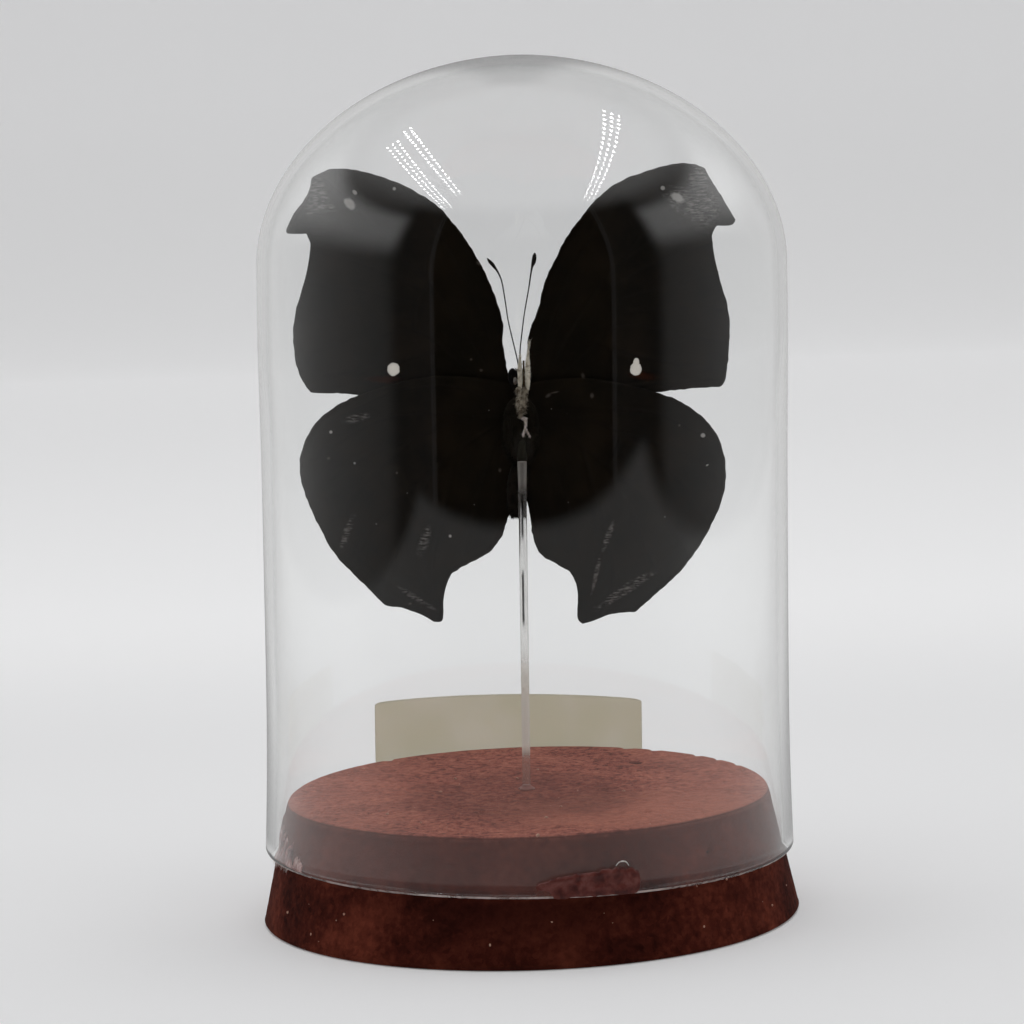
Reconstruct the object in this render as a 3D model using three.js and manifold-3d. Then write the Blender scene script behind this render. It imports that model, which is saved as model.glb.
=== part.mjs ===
// A butterfly on a clear rod under a glass dome that is wedged on a tapered cork plug.
// Millimetres, +Z up, origin at the centre of the cork's underside.
// The front is -Y, where the butterfly's underside shows. Left is -X, right is +X.
import * as THREE from 'three';
import { mergeVertices } from 'three/addons/utils/BufferGeometryUtils.js';
import Module from 'manifold-3d';

const wasm = await Module();
wasm.setup();

// ---- Driving dimensions ----
const clearance = 0.3;            // gap between neighbouring pieces

const corkBottomRadius = 51.4;
const corkTopRadius = 46.05;
const corkHeight = 23.9;
const corkEdge = 0.9;             // rounding of the lower edge
const corkTopEdge = 0.3;

const rimHeight = 13.0;           // the dome's rim above the cork's underside
const leanDegrees = 1.1;          // dome, rod and butterfly lean to the right

// Heights from here on are above the dome's rim, in the leaning frame.
const domeWaistRadius = 49.88;    // outer radius half way up
const rimFlare = 0.75;            // how much the rim opens out
const flareHeight = 34;
const shoulderSwell = 0.3;        // how much the side swells below the shoulder
const swellHeight = 100;
const swellWidth = 18;
const shoulderHeight = 111.9;
const crownHeight = 39.05;        // from the shoulder to the top
const crownPower = 1.95;          // 2 would be a true ellipse
const glassThickness = 1.8;
const rimRounding = 1.2;
const rimShoulder = { across: 0.36, up: 0.25 };   // shares of the wall and of the rounding

const rodRadius = 0.78;
const rodX = -0.45;
const rodTop = 74.1;
const rodHoleDepth = 12;          // counted from just above the cork's top
const holeOvershoot = 1;
const footGlue = { spread: 0.9, waist: 0.35, waistHeight: 0.5, height: 0.8 };
const corkTop = corkHeight - rimHeight;

const insect = { x: -0.6, y: 4.1, z: 80 };   // the middle of the thorax
const wingThickness = 0.4;
const forewingDepth = 0.9;        // how far the wings lie behind the middle of the body
const hindwingDepth = 0.0;
const leftSweep = 1;              // degrees by which the wings are raised to the back
const rightSweep = 11;

const label = { arc: 66, turn: -5.2, bottom: 4, top: 21, thickness: 0.12, tilt: -0.85 };

// How many flat sides stand for each round shape.
const sides = { cork: 96, hole: 20, dome: 50, rod: 12, footGlue: 20, topGlue: 10, body: 12 };

const finishes = {
  cork: { color: 0x7a3f30, roughness: 0.9 },
  glass: { color: 0xdfe6e8, roughness: 0.05 },
  rod: { color: 0xe6e8e8, roughness: 0.1 },
  paper: { color: 0xc4c3a8, roughness: 0.8 },
  wing: { color: 0x241a14, roughness: 0.85 },
  body: { color: 0x2c221b, roughness: 0.8 },
  palp: { color: 0xcdbfa4, roughness: 0.8 },
  glue: { color: 0xcdc4b6, roughness: 0.3 },
  stain: { color: 0x5d2a22, roughness: 0.35 },
};

const radians = THREE.MathUtils.degToRad;

// ---- Helpers ----
function piece(name, geometry, finish) {
  const mesh = new THREE.Mesh(geometry, new THREE.MeshStandardMaterial({ ...finish, metalness: 0 }));
  mesh.name = name;
  return mesh;
}

// A profile of [radius, height] pairs turned about Z.
function turned(profile, segments) {
  const points = profile.map(([radius, height]) => new THREE.Vector2(Math.max(radius, 0), height));
  return new THREE.LatheGeometry(points, segments).rotateX(Math.PI / 2);
}

// Flat rings of an ellipse, one above the other, joined into one closed skin.
// Each ring is [x, y, z, half width, half depth], from the bottom up.
function stackedRings(rings, count) {
  const positions = [];
  const index = [];
  rings.forEach(([x, y, z, width, depth]) => {
    for (let i = 0; i < count; i += 1) {
      const angle = (i / count) * Math.PI * 2;
      positions.push(x + width * Math.cos(angle), y + depth * Math.sin(angle), z);
    }
  });
  const bottomCentre = rings.length * count;
  const topCentre = bottomCentre + 1;
  positions.push(...rings[0].slice(0, 3), ...rings[rings.length - 1].slice(0, 3));
  const topStart = (rings.length - 1) * count;
  for (let i = 0; i < count; i += 1) {
    const next = (i + 1) % count;
    for (let start = 0; start < topStart; start += count) {
      index.push(start + i, start + next, start + count + next);
      index.push(start + i, start + count + next, start + count + i);
    }
    index.push(bottomCentre, next, i);
    index.push(topCentre, topStart + i, topStart + next);
  }
  const geometry = new THREE.BufferGeometry();
  geometry.setAttribute('position', new THREE.Float32BufferAttribute(positions, 3));
  geometry.setIndex(index);
  geometry.computeVertexNormals();
  return geometry;
}

// A thin box bent round Z. radiusAt gives the inner radius at a height, and
// heightAt maps the box's own height (0 to 1) at a place along it (0 to 1).
function bentSheet({ startAngle, endAngle, thickness, steps, rows, radiusAt, heightAt }) {
  const geometry = new THREE.BoxGeometry(1, 1, 1, steps, rows, 1).translate(0.5, 0.5, 0.5);
  const position = geometry.getAttribute('position');
  for (let i = 0; i < position.count; i += 1) {
    const along = position.getX(i);
    const angle = radians(startAngle + (endAngle - startAngle) * along);
    const height = heightAt(along, position.getY(i));
    const radius = radiusAt(height) + thickness * position.getZ(i);
    position.setXYZ(i, radius * Math.cos(angle), radius * Math.sin(angle), height);
  }
  geometry.computeVertexNormals();
  return geometry;
}

function solidFrom(geometry) {
  const plain = geometry.clone();
  plain.deleteAttribute('normal');
  plain.deleteAttribute('uv');
  const merged = mergeVertices(plain, 1e-3);
  const vertProperties = merged.getAttribute('position').array;
  const triVerts = new Uint32Array(merged.index.array);
  return new wasm.Manifold(new wasm.Mesh({ numProp: 3, vertProperties, triVerts }));
}

function geometryFrom(solid) {
  const mesh = solid.getMesh();
  const geometry = new THREE.BufferGeometry();
  geometry.setAttribute('position', new THREE.BufferAttribute(mesh.vertProperties, 3));
  geometry.setIndex(new THREE.BufferAttribute(mesh.triVerts, 1));
  geometry.computeVertexNormals();
  return geometry;
}

// ---- Cork plug ----
function corkRadius(z) {
  return THREE.MathUtils.lerp(corkBottomRadius, corkTopRadius, z / corkHeight);
}

function corkBase() {
  const plug = turned([
    [0, 0],
    [corkBottomRadius - corkEdge, 0],
    [corkRadius(corkEdge / 3) - corkEdge / 3, corkEdge / 3],
    [corkRadius(corkEdge), corkEdge],
    [corkRadius(corkHeight - corkTopEdge), corkHeight - corkTopEdge],
    [corkTopRadius - corkTopEdge, corkHeight],
    [0, corkHeight],
  ], sides.cork);
  const holeRadius = rodRadius + clearance;
  const hole = new THREE.CylinderGeometry(holeRadius, holeRadius, rodHoleDepth, sides.hole);
  hole.rotateX(Math.PI / 2).translate(rodX, 0, corkTop + holeOvershoot - rodHoleDepth / 2);
  hole.rotateY(radians(leanDegrees)).translate(0, 0, rimHeight);
  const drilled = solidFrom(plug).subtract(solidFrom(hole));
  return piece('cork_base', geometryFrom(drilled), finishes.cork);
}

// ---- Glass dome ----
function domeRadius(z) {
  const flare = rimFlare * Math.max(0, 1 - z / flareHeight) ** 2;
  const swell = shoulderSwell * Math.exp(-(((z - swellHeight) / swellWidth) ** 2));
  return domeWaistRadius + flare + swell;
}

// One wall of the dome from the rounded rim to the top, set in by an inset.
function domeWall(inset) {
  const sideHeights = [rimRounding, 5, 11, 18, 26, 34, 60, 80, 92, 100, 106, shoulderHeight];
  const wall = sideHeights.map((z) => [domeRadius(z) - inset, z]);
  const crownSteps = 13;
  const shoulder = domeRadius(shoulderHeight) - inset;
  for (let i = 1; i <= crownSteps; i += 1) {
    const angle = (i / crownSteps) * (Math.PI / 2);
    const radius = i < crownSteps ? shoulder * Math.cos(angle) ** (2 / crownPower) : 0;
    const rise = (crownHeight - inset) * Math.sin(angle) ** (2 / crownPower);
    wall.push([radius, shoulderHeight + rise]);
  }
  return wall;
}

function glassDome() {
  const rimMiddle = domeRadius(0) - glassThickness / 2;
  const rim = [
    [rimMiddle - glassThickness * rimShoulder.across, rimRounding * rimShoulder.up],
    [rimMiddle, 0],
    [rimMiddle + glassThickness * rimShoulder.across, rimRounding * rimShoulder.up],
  ];
  const profile = [...domeWall(glassThickness).reverse(), ...rim, ...domeWall(0)];
  return piece('glass_dome', turned(profile, sides.dome), finishes.glass);
}

// ---- Rod and its glue ----
function supportRod() {
  const bottom = corkTop + holeOvershoot - rodHoleDepth + clearance;
  const rod = new THREE.CylinderGeometry(rodRadius, rodRadius, rodTop - bottom, sides.rod);
  rod.rotateX(Math.PI / 2).translate(rodX, 0, (rodTop + bottom) / 2);
  return piece('support_rod', rod, finishes.rod);
}

function rodFootGlue() {
  const inner = rodRadius + clearance;
  const bottom = corkTop + clearance;
  const ring = turned([
    [inner, bottom],
    [inner + footGlue.spread, bottom],
    [inner + footGlue.waist, bottom + footGlue.waistHeight],
    [inner, bottom + footGlue.height],
    [inner, bottom],
  ], sides.footGlue);
  return piece('rod_foot_glue', ring.translate(rodX, 0, 0), finishes.glue);
}

// Fills the space behind the rod's top and runs over its end, on to the thorax.
function rodTopGlue() {
  const bead = stackedRings([
    [0.15, -2.60, -9.4, 0.4, 0.2],
    [0.15, -2.60, -8.6, 0.8, 0.4],
    [0.15, -2.62, -5.9, 0.9, 0.38],
    [0.15, -3.25, -5.45, 1.0, 0.7],
    [0.15, -3.62, -3.6, 0.9, 0.42],
    [0.15, -3.58, -1.9, 0.4, 0.25],
  ], sides.topGlue);
  return piece('rod_top_glue', bead, finishes.glue);
}

// ---- Insect's body, about the middle of the thorax ----
const bodyRings = {
  thorax: [
    [0, 0, -6.3, 1.3, 1.1],
    [0, 0, -5.0, 2.6, 2.1],
    [0, 0, -2.5, 3.3, 2.6],
    [0, 0, 0.0, 3.45, 2.8],
    [0, 0, 2.5, 3.2, 2.6],
    [0, 0, 4.6, 2.4, 2.1],
    [0, 0, 5.9, 1.2, 1.2],
  ],
  abdomen: [
    [-1.2, 0, -16.9, 0.7, 0.7],
    [-1.1, 0, -15.6, 1.5, 1.4],
    [-0.9, 0, -13.5, 1.9, 1.8],
    [-0.7, 0, -11.0, 2.1, 1.9],
    [-0.4, 0, -8.4, 1.9, 1.8],
    [-0.2, 0, -6.8, 1.3, 1.3],
  ],
  head: [
    [-0.1, -0.2, 6.3, 0.9, 0.9],
    [-0.1, -0.3, 7.4, 1.4, 1.3],
    [-0.2, -0.4, 8.4, 1.9, 1.5],
    [-0.2, -0.4, 9.6, 1.9, 1.5],
    [-0.1, -0.4, 10.5, 1.5, 1.3],
    [0.0, -0.4, 11.1, 0.7, 0.7],
  ],
  palp_left: [
    [-0.05, -2.75, 7.6, 0.3, 0.3],
    [0.0, -2.75, 9.0, 0.45, 0.45],
    [0.1, -2.75, 11.5, 0.45, 0.4],
    [0.2, -2.75, 13.7, 0.15, 0.15],
  ],
  palp_right: [
    [1.45, -2.75, 7.6, 0.3, 0.3],
    [1.45, -2.75, 9.0, 0.5, 0.45],
    [1.4, -2.75, 12.0, 0.5, 0.4],
    [1.55, -2.75, 15.3, 0.12, 0.12],
  ],
  antenna_left: [
    [-0.15, -0.5, 11.5, 0.16, 0.16],
    [-0.52, -0.4, 13.4, 0.14, 0.14],
    [-1.42, -0.2, 17.4, 0.14, 0.14],
    [-2.65, 0, 24.5, 0.14, 0.14],
    [-3.2, 0, 27.9, 0.14, 0.14],
    [-3.95, 0, 29.8, 0.2, 0.2],
    [-5.25, 0, 31.65, 0.36, 0.36],
    [-5.85, 0, 32.4, 0.2, 0.2],
  ],
  antenna_right: [
    [0.2, -0.5, 11.5, 0.16, 0.16],
    [0.06, -0.4, 14.5, 0.14, 0.14],
    [0.92, 0, 21.4, 0.14, 0.14],
    [1.97, 0, 27.1, 0.14, 0.14],
    [2.5, 0, 30.3, 0.2, 0.2],
    [2.9, 0, 31.6, 0.34, 0.34],
    [3.12, 0, 33.2, 0.2, 0.2],
  ],
  foreleg_left: [
    [-0.3, -3.3, 3.7, 0.25, 0.2],
    [-0.35, -3.25, 5.2, 0.5, 0.4],
    [-0.2, -3.0, 7.0, 0.3, 0.3],
  ],
  foreleg_right: [
    [0.95, -3.3, 3.9, 0.25, 0.2],
    [0.9, -3.25, 5.4, 0.5, 0.4],
    [0.8, -3.0, 7.0, 0.3, 0.3],
  ],
  midleg_left: [
    [-1.4, -3.2, -3.2, 0.15, 0.15],
    [-1.9, -3.2, -0.5, 0.3, 0.25],
    [-2.3, -2.9, 2.6, 0.25, 0.2],
  ],
  midleg_right: [
    [0.8, -3.4, -1.3, 0.2, 0.15],
    [0.7, -3.4, 0.6, 0.4, 0.25],
    [0.65, -3.4, 2.6, 0.5, 0.25],
  ],
};
const paleParts = ['palp', 'foreleg'];

function bodyPieces() {
  return Object.entries(bodyRings).map(([name, rings]) => {
    const isPale = paleParts.some((word) => name.startsWith(word));
    return piece(name, stackedRings(rings, sides.body), isPale ? finishes.palp : finishes.body);
  });
}

// ---- Wings ----
// Each outline is a list of smooth stretches that meet at corners. A point is the
// distance out from the body and the height above the middle of the thorax.
const wingOutlines = {
  forewing_left: [
    [[3.9, 4.5], [2.7, 9.5], [2.9, 17.5], [4.0, 21.9], [9.0, 34.4], [15.1, 42.4], [22.8, 47.1],
      [30, 49.5], [35.5, 50.0], [39.3, 48.4]],
    [[39.3, 48.4], [40.3, 45.0], [42.9, 41.6], [44.5, 38.6]],
    [[44.5, 38.6], [44.2, 37.7], [40.5, 37.6]],
    [[40.5, 37.6], [39.4, 34.0], [40.8, 29.1], [43.2, 21.8], [43.4, 15.5], [42.3, 10.4], [40.3, 7.2]],
    [[40.3, 7.2], [33.4, 6.9], [18, 5.2], [3.9, 4.5]],
  ],
  forewing_right: [
    [[3.9, 4.5], [2.5, 9.5], [1.8, 14], [2.0, 18.2], [4.9, 26.1], [7.2, 31.6], [10.4, 37.2],
      [17.4, 45.0], [25, 48.4], [32.5, 50.0], [37.0, 49.1]],
    [[37.0, 49.1], [38.0, 47.2], [40.3, 43.5], [43.2, 38.7]],
    [[43.2, 38.7], [42.3, 37.7], [39.2, 37.6]],
    [[39.2, 37.6], [38.1, 34.2], [39.8, 27.4], [41.5, 21.6], [41.7, 15.5], [40.9, 8.1], [39.8, 6.6]],
    [[39.8, 6.6], [33.3, 6.4], [18, 5.2], [3.9, 4.5]],
  ],
  hindwing_left: [
    [[3.9, 5.5], [3.0, 9.0], [11.4, 10.0], [19.1, 9.9], [30.2, 7.0], [38.1, 2.7], [41.9, -3.0],
      [42.6, -8.0], [40.7, -14.6], [35.9, -23.9], [29.3, -30.9], [26.3, -34.0]],
    [[26.3, -34.0], [23.2, -34.4], [19.6, -35.7], [17.2, -37.1], [15.5, -36.7], [15.2, -32.5],
      [14.1, -28.6], [11.6, -26.5], [7.0, -24.2], [4.4, -21.5], [3.3, -16.5]],
    [[3.3, -16.5], [3.4, -8.0], [3.9, -5.0]],
    [[3.9, -5.0], [3.9, 5.5]],
  ],
  hindwing_right: [
    [[3.9, 5.5], [2.8, 8.5], [7.8, 9.3], [15.6, 8.8], [26.3, 6.2], [33.2, 3.0], [38.3, -1.8],
      [40.5, -8.8], [39.2, -16.5], [33.1, -26.6], [27.1, -32.3], [22.1, -36.3]],
    [[22.1, -36.3], [17.2, -36.6], [13.7, -37.7], [11.6, -38.2], [10.6, -36.8], [10.7, -32.0],
      [9.3, -28.2], [4.2, -24.7], [2.9, -23.3], [2.2, -18.0], [2.0, -13.5]],
    [[2.0, -13.5], [2.4, -8.0], [3.9, -5.0]],
    [[3.9, -5.0], [3.9, 5.5]],
  ],
};

function wing(name) {
  const isLeft = name.endsWith('left');
  const side = isLeft ? -1 : 1;
  const outline = new THREE.Shape();
  const toPoint = ([u, w]) => new THREE.Vector2(side * u, w);
  const stretches = wingOutlines[name].map((stretch) => stretch.map(toPoint));
  outline.moveTo(stretches[0][0].x, stretches[0][0].y);
  stretches.forEach((stretch) => {
    if (stretch.length > 2) outline.splineThru(stretch.slice(1));
    else outline.lineTo(stretch[1].x, stretch[1].y);
  });
  const plate = new THREE.ExtrudeGeometry(outline, {
    depth: wingThickness, bevelEnabled: false, curveSegments: 3,
  });
  const depth = name.startsWith('forewing') ? forewingDepth : hindwingDepth;
  const sweep = isLeft ? -leftSweep : rightSweep;
  plate.rotateX(Math.PI / 2).translate(0, depth + wingThickness / 2, 0).rotateZ(radians(sweep));
  return piece(name, plate, finishes.wing);
}

// ---- Label and rim glue ----
function paperLabel() {
  const middle = 90 - label.turn;
  const slope = Math.tan(radians(label.tilt));
  const radius = domeRadius(label.bottom) + clearance;
  const sheet = bentSheet({
    startAngle: middle - label.arc / 2,
    endAngle: middle + label.arc / 2,
    thickness: label.thickness,
    steps: 24,
    rows: 1,
    radiusAt: () => radius,
    heightAt: (along, up) => {
      const sideways = radians(label.arc) * radius * (0.5 - along);
      return THREE.MathUtils.lerp(label.bottom, label.top, up) + sideways * slope;
    },
  });
  return piece('paper_label', sheet, finishes.paper);
}

// Irregular films of stained glue, in the leaning frame. The front one laps over the outside
// of the rim, and the left one lies on the cork's taper inside it. Angles start at +X.
const filmGap = 0.3;
const filmThickness = 0.1;
const filmEdge = { level: 0.55, swing: 0.45, phase: 0.4 };   // the upper edge, as shares of the height
const glueFilms = {
  rim_glue_front: {
    startAngle: -88,
    endAngle: -64,
    bottom: 0.4,
    top: 5.4,
    waves: 5,
    radiusAt: (z) => domeRadius(z) + filmGap,
  },
  rim_glue_left: {
    startAngle: -176,
    endAngle: -152,
    bottom: 1.6,
    top: 7.2,
    waves: 4,
    radiusAt: (z) => corkRadius(z + rimHeight) + filmGap,
  },
};

function glueFilm([name, { startAngle, endAngle, bottom, top, waves, radiusAt }]) {
  const sheet = bentSheet({
    startAngle,
    endAngle,
    thickness: filmThickness,
    steps: 16,
    rows: 3,
    radiusAt,
    heightAt: (along, up) => {
      const wave = Math.abs(Math.sin(Math.PI * waves * along / 2 + filmEdge.phase));
      return bottom + (top - bottom) * up * (filmEdge.level + filmEdge.swing * wave);
    },
  });
  return piece(name, sheet, finishes.stain);
}

// ---- Assembly ----
const body = new THREE.Group();
body.position.set(insect.x, insect.y, insect.z);
body.add(...bodyPieces(), ...Object.keys(wingOutlines).map(wing));
const topGlue = rodTopGlue();
topGlue.position.set(insect.x, insect.y, insect.z);

const leaning = new THREE.Group();
leaning.position.set(0, 0, rimHeight);
leaning.rotation.y = radians(leanDegrees);
leaning.add(glassDome(), supportRod(), rodFootGlue(), topGlue, body, paperLabel());
leaning.add(...Object.entries(glueFilms).map(glueFilm));

const part = new THREE.Group();
part.add(corkBase(), leaning);

export default part;
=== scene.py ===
import math

import bpy
import numpy as np
from mathutils import Matrix


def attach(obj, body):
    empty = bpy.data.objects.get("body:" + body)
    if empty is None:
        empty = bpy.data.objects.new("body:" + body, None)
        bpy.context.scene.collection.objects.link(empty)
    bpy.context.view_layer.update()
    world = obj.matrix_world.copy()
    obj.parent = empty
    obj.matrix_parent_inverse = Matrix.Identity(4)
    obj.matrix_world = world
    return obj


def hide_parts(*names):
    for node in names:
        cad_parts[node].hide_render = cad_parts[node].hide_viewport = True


# A dried butterfly on a clear rod, under a glass dome that is wedged on a stained cork plug.
# Sizes are in millimetres here and become metres in addPiece. Z is up and the front is -Y.
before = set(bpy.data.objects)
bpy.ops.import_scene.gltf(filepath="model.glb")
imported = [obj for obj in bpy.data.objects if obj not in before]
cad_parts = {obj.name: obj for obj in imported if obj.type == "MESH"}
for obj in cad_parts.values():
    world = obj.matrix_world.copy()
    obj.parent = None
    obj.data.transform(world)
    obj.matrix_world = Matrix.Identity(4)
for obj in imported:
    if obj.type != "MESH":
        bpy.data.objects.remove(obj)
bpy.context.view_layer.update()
millimetre = 0.001
scene = bpy.context.scene
print("frame loaded")

# The dome, the rod and the butterfly lean to the right about the middle of the dome's rim.
lean = {"degrees": 1.1, "rimHeight": 13.0}

# Camera.
camera = {
    "distance": 837.6,      # in front of the plug's middle
    "height": 182.83,
    "yaw": -0.0015,         # radians
    "pitch": 0.1252,        # downwards
    "roll": -0.0335,
    "lens": 155.98,         # on a 36 mm sensor
}


def placeCamera():
    # The view's right and up directions come from yaw, then pitch, then a roll about the line of sight.
    yaw, pitch, roll = camera["yaw"], camera["pitch"], camera["roll"]
    forward = np.array([math.sin(yaw) * math.cos(pitch), math.cos(yaw) * math.cos(pitch), -math.sin(pitch)])
    level = np.array([math.cos(yaw), -math.sin(yaw), 0.0])
    above = np.cross(level, forward)
    right = math.cos(roll) * level + math.sin(roll) * above
    up = -math.sin(roll) * level + math.cos(roll) * above
    data = bpy.data.cameras.new("camera")
    data.sensor_fit = "HORIZONTAL"
    data.sensor_width = 36
    data.lens = camera["lens"]
    data.clip_start, data.clip_end = 0.05, 50
    seat = bpy.data.objects.new("camera", data)
    scene.collection.objects.link(seat)
    turn = Matrix(np.column_stack([right, up, -forward]).tolist())
    place = Matrix.Translation((0, -camera["distance"] * millimetre, camera["height"] * millimetre))
    seat.matrix_world = place @ turn.to_4x4()
    scene.camera = seat


placeCamera()

# Mesh helpers.
noiseTable = np.random.default_rng(7).random((32, 32, 32))


def wobble(points, cell):
    # Smooth random values from -1 to 1: a table of random numbers read at the eight corners
    # round each point and blended with smoothstep weights. Cell is the size of one corner box.
    scaled = points / cell
    base = np.floor(scaled).astype(int)
    part = scaled - base
    part = part * part * (3 - 2 * part)
    total = np.zeros(points.shape[:-1])
    for corner in np.ndindex(2, 2, 2):
        weight = np.prod(np.where(np.array(corner), part, 1 - part), axis=-1)
        i = (base + np.array(corner)) % len(noiseTable)
        total += weight * noiseTable[i[..., 0], i[..., 1], i[..., 2]]
    return total * 2 - 1


def rough(points, cell):
    # Three layers of wobble, each half the size and half the strength of the one before.
    halved, quartered = wobble(points + 11.3, cell / 2), wobble(points + 5.7, cell / 4)
    return wobble(points, cell) + 0.5 * halved + 0.25 * quartered


def smoothstep(low, high, x):
    # 0 below low, 1 above high, and 3t^2 - 2t^3 of the share of the way between.
    t = np.clip((x - low) / (high - low), 0, 1)
    return t * t * (3 - 2 * t)


def leaned(points):
    # Turns points of the leaning frame about Y, then lifts them to the rim's height.
    angle = math.radians(lean["degrees"])
    x, y, z = points[..., 0], points[..., 1], points[..., 2]
    turnedX = x * math.cos(angle) + z * math.sin(angle)
    turnedZ = z * math.cos(angle) - x * math.sin(angle)
    return np.stack([turnedX, y, turnedZ + lean["rimHeight"]], axis=-1)


def closedRows(grid):
    # Faces of a closed skin from rows of rings: grid[row, side] is a point. Each ring joins the
    # next one, and a fan closes the first and the last ring on their middles.
    rows, sides = grid.shape[:2]
    points = np.concatenate([grid.reshape(-1, 3), grid[0].mean(0)[None], grid[-1].mean(0)[None]])
    row, side = np.meshgrid(np.arange(rows - 1), np.arange(sides), indexing="ij")
    after = (side + 1) % sides
    a, b = row * sides + side, row * sides + after
    quads = np.stack([a, b, b + sides, a + sides], axis=-1).reshape(-1, 4)
    ring = np.arange(sides)
    follow = (ring + 1) % sides
    last = (rows - 1) * sides
    start = np.stack([np.full(sides, rows * sides), follow, ring], axis=-1)
    end = np.stack([np.full(sides, rows * sides + 1), last + ring, last + follow], axis=-1)
    return points, quads, np.concatenate([start, end])


def tubeGrid(centres, radii, sides, depths=None):
    # Level rings: each row is an ellipse about its centre.
    angle = np.linspace(0, 2 * math.pi, sides, endpoint=False)
    depths = radii if depths is None else depths
    return np.stack([
        centres[:, 0:1] + radii[:, None] * np.cos(angle), centres[:, 1:2] + depths[:, None] * np.sin(angle),
        np.broadcast_to(centres[:, 2:3], (len(centres), sides)),
    ], axis=-1)


def ball(centre, radii, rows=14, sides=24):
    # Rings of latitude, closed at both poles.
    tilt = np.linspace(-math.pi / 2, math.pi / 2, rows + 2)[1:-1]
    centres = np.array(centre, float) + np.stack([0 * tilt, 0 * tilt, radii[2] * np.sin(tilt)], axis=-1)
    return closedRows(tubeGrid(centres, radii[0] * np.cos(tilt), sides, radii[1] * np.cos(tilt)))


def outward(points, quads, tris):
    # Turns every face round where the volume inside the skin comes out negative.
    corners = np.concatenate([quads[:, [0, 1, 2]], quads[:, [0, 2, 3]], tris])
    a, b, c = (points[corners[:, i]] for i in range(3))
    if np.einsum("ij,ij->i", a, np.cross(b, c)).sum() < 0:
        return quads[:, ::-1], tris[:, ::-1]
    return quads, tris


def joined(skins):
    # Several (points, quads, tris) skins as one, with the corner numbers shifted.
    allPoints, allQuads, allTris, shift = [], [], [], 0
    for points, quads, tris in skins:
        quads, tris = outward(points, quads, tris)
        allPoints.append(points)
        allQuads.append(quads + shift)
        allTris.append(tris + shift)
        shift += len(points)
    return np.concatenate(allPoints), np.concatenate(allQuads), np.concatenate(allTris)


def addPiece(name, skin, materials, nodes=(), faceMaterial=None, uv=None, attributes=None):
    # Makes one object from a skin in millimetres. It rides on the one body and stands for the
    # CAD nodes named, faceMaterial gives each quad its slot, uv and attributes go by vertex.
    points, quads, tris = skin
    quads, tris = outward(points, quads, tris)
    mesh = bpy.data.meshes.new(name)
    mesh.from_pydata((points * millimetre).tolist(), [], quads.tolist() + tris.tolist())
    for material in materials:
        mesh.materials.append(material)
    if faceMaterial is not None:
        chosen = np.zeros(len(mesh.polygons), np.int32)
        chosen[: len(faceMaterial)] = faceMaterial
        mesh.polygons.foreach_set("material_index", chosen)
    if uv is not None:
        corner = np.zeros(len(mesh.loops), np.int32)
        mesh.loops.foreach_get("vertex_index", corner)
        layer = mesh.uv_layers.new(name="plan")
        layer.data.foreach_set("uv", uv[corner].astype(np.float32).ravel())
    for key, values in (attributes or {}).items():
        mesh.attributes.new(key, "FLOAT", "POINT").data.foreach_set("value", values.astype(np.float32))
    mesh.polygons.foreach_set("use_smooth", np.ones(len(mesh.polygons), bool))
    mesh.update()
    piece = bpy.data.objects.new(name, mesh)
    scene.collection.objects.link(piece)
    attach(piece, "root")
    if nodes:
        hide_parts(*nodes)
    print("made", name, len(mesh.polygons), "faces")
    return piece


# Material helpers.
def node(tree, kind, values=None, **settings):
    made = tree.nodes.new("ShaderNode" + kind)
    for key, value in settings.items():
        setattr(made, key, value)
    for key, value in (values or {}).items():
        if isinstance(value, bpy.types.NodeSocket):
            tree.links.new(value, made.inputs[key])
        else:
            made.inputs[key].default_value = value
    return made


def calc(tree, operation, a, b=0.0, clamp=False):
    return node(tree, "Math", {0: a, 1: b}, operation=operation, use_clamp=clamp).outputs[0]


def between(tree, x, low, high, toLow=0.0, toHigh=1.0, smooth=True):
    # Maps x from low..high to toLow..toHigh and holds it there.
    kind = "SMOOTHSTEP" if smooth else "LINEAR"
    values = {"Value": x, "From Min": low, "From Max": high, "To Min": toLow, "To Max": toHigh}
    return node(tree, "MapRange", values, interpolation_type=kind, clamp=True).outputs[0]


def tint(tree, factor, a, b, mode="MIX"):
    mix = node(tree, "Mix", {0: factor}, data_type="RGBA", blend_type=mode)
    for place, value in ((6, a), (7, b)):
        if isinstance(value, bpy.types.NodeSocket):
            tree.links.new(value, mix.inputs[place])
        else:
            mix.inputs[place].default_value = (*value, 1)
    return mix.outputs[2]


def ramp(tree, factor, stops):
    made = node(tree, "ValToRGB", {0: factor})
    elements = made.color_ramp.elements
    while len(elements) < len(stops):
        elements.new(0.5)
    for element, (place, colour) in zip(elements, stops):
        element.position = place
        element.color = (*colour, 1)
    return made.outputs[0]


def noise(tree, vector, scale, detail=4.0, roughness=0.55, distortion=0.0):
    values = {"Scale": scale, "Detail": detail, "Roughness": roughness, "Distortion": distortion}
    made = node(tree, "TexNoise", values)
    tree.links.new(vector, made.inputs["Vector"])
    return made.outputs["Fac"]


def newMaterial(name):
    # An empty material, its nodes and the place on the object in millimetres.
    material = bpy.data.materials.new(name)
    material.use_nodes = True
    tree = material.node_tree
    tree.nodes.clear()
    place = node(tree, "TexCoord").outputs["Object"]
    scaled = node(tree, "Mapping", {"Vector": place, "Scale": (1000, 1000, 1000)}).outputs[0]
    return material, tree, scaled


def finishMaterial(tree, shader):
    node(tree, "OutputMaterial", {"Surface": shader})


def bumped(tree, height, strength, distance):
    return node(tree, "Bump", {"Height": height, "Strength": strength, "Distance": distance}).outputs[0]


def principled(tree, values):
    return node(tree, "BsdfPrincipled", values).outputs[0]


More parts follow.
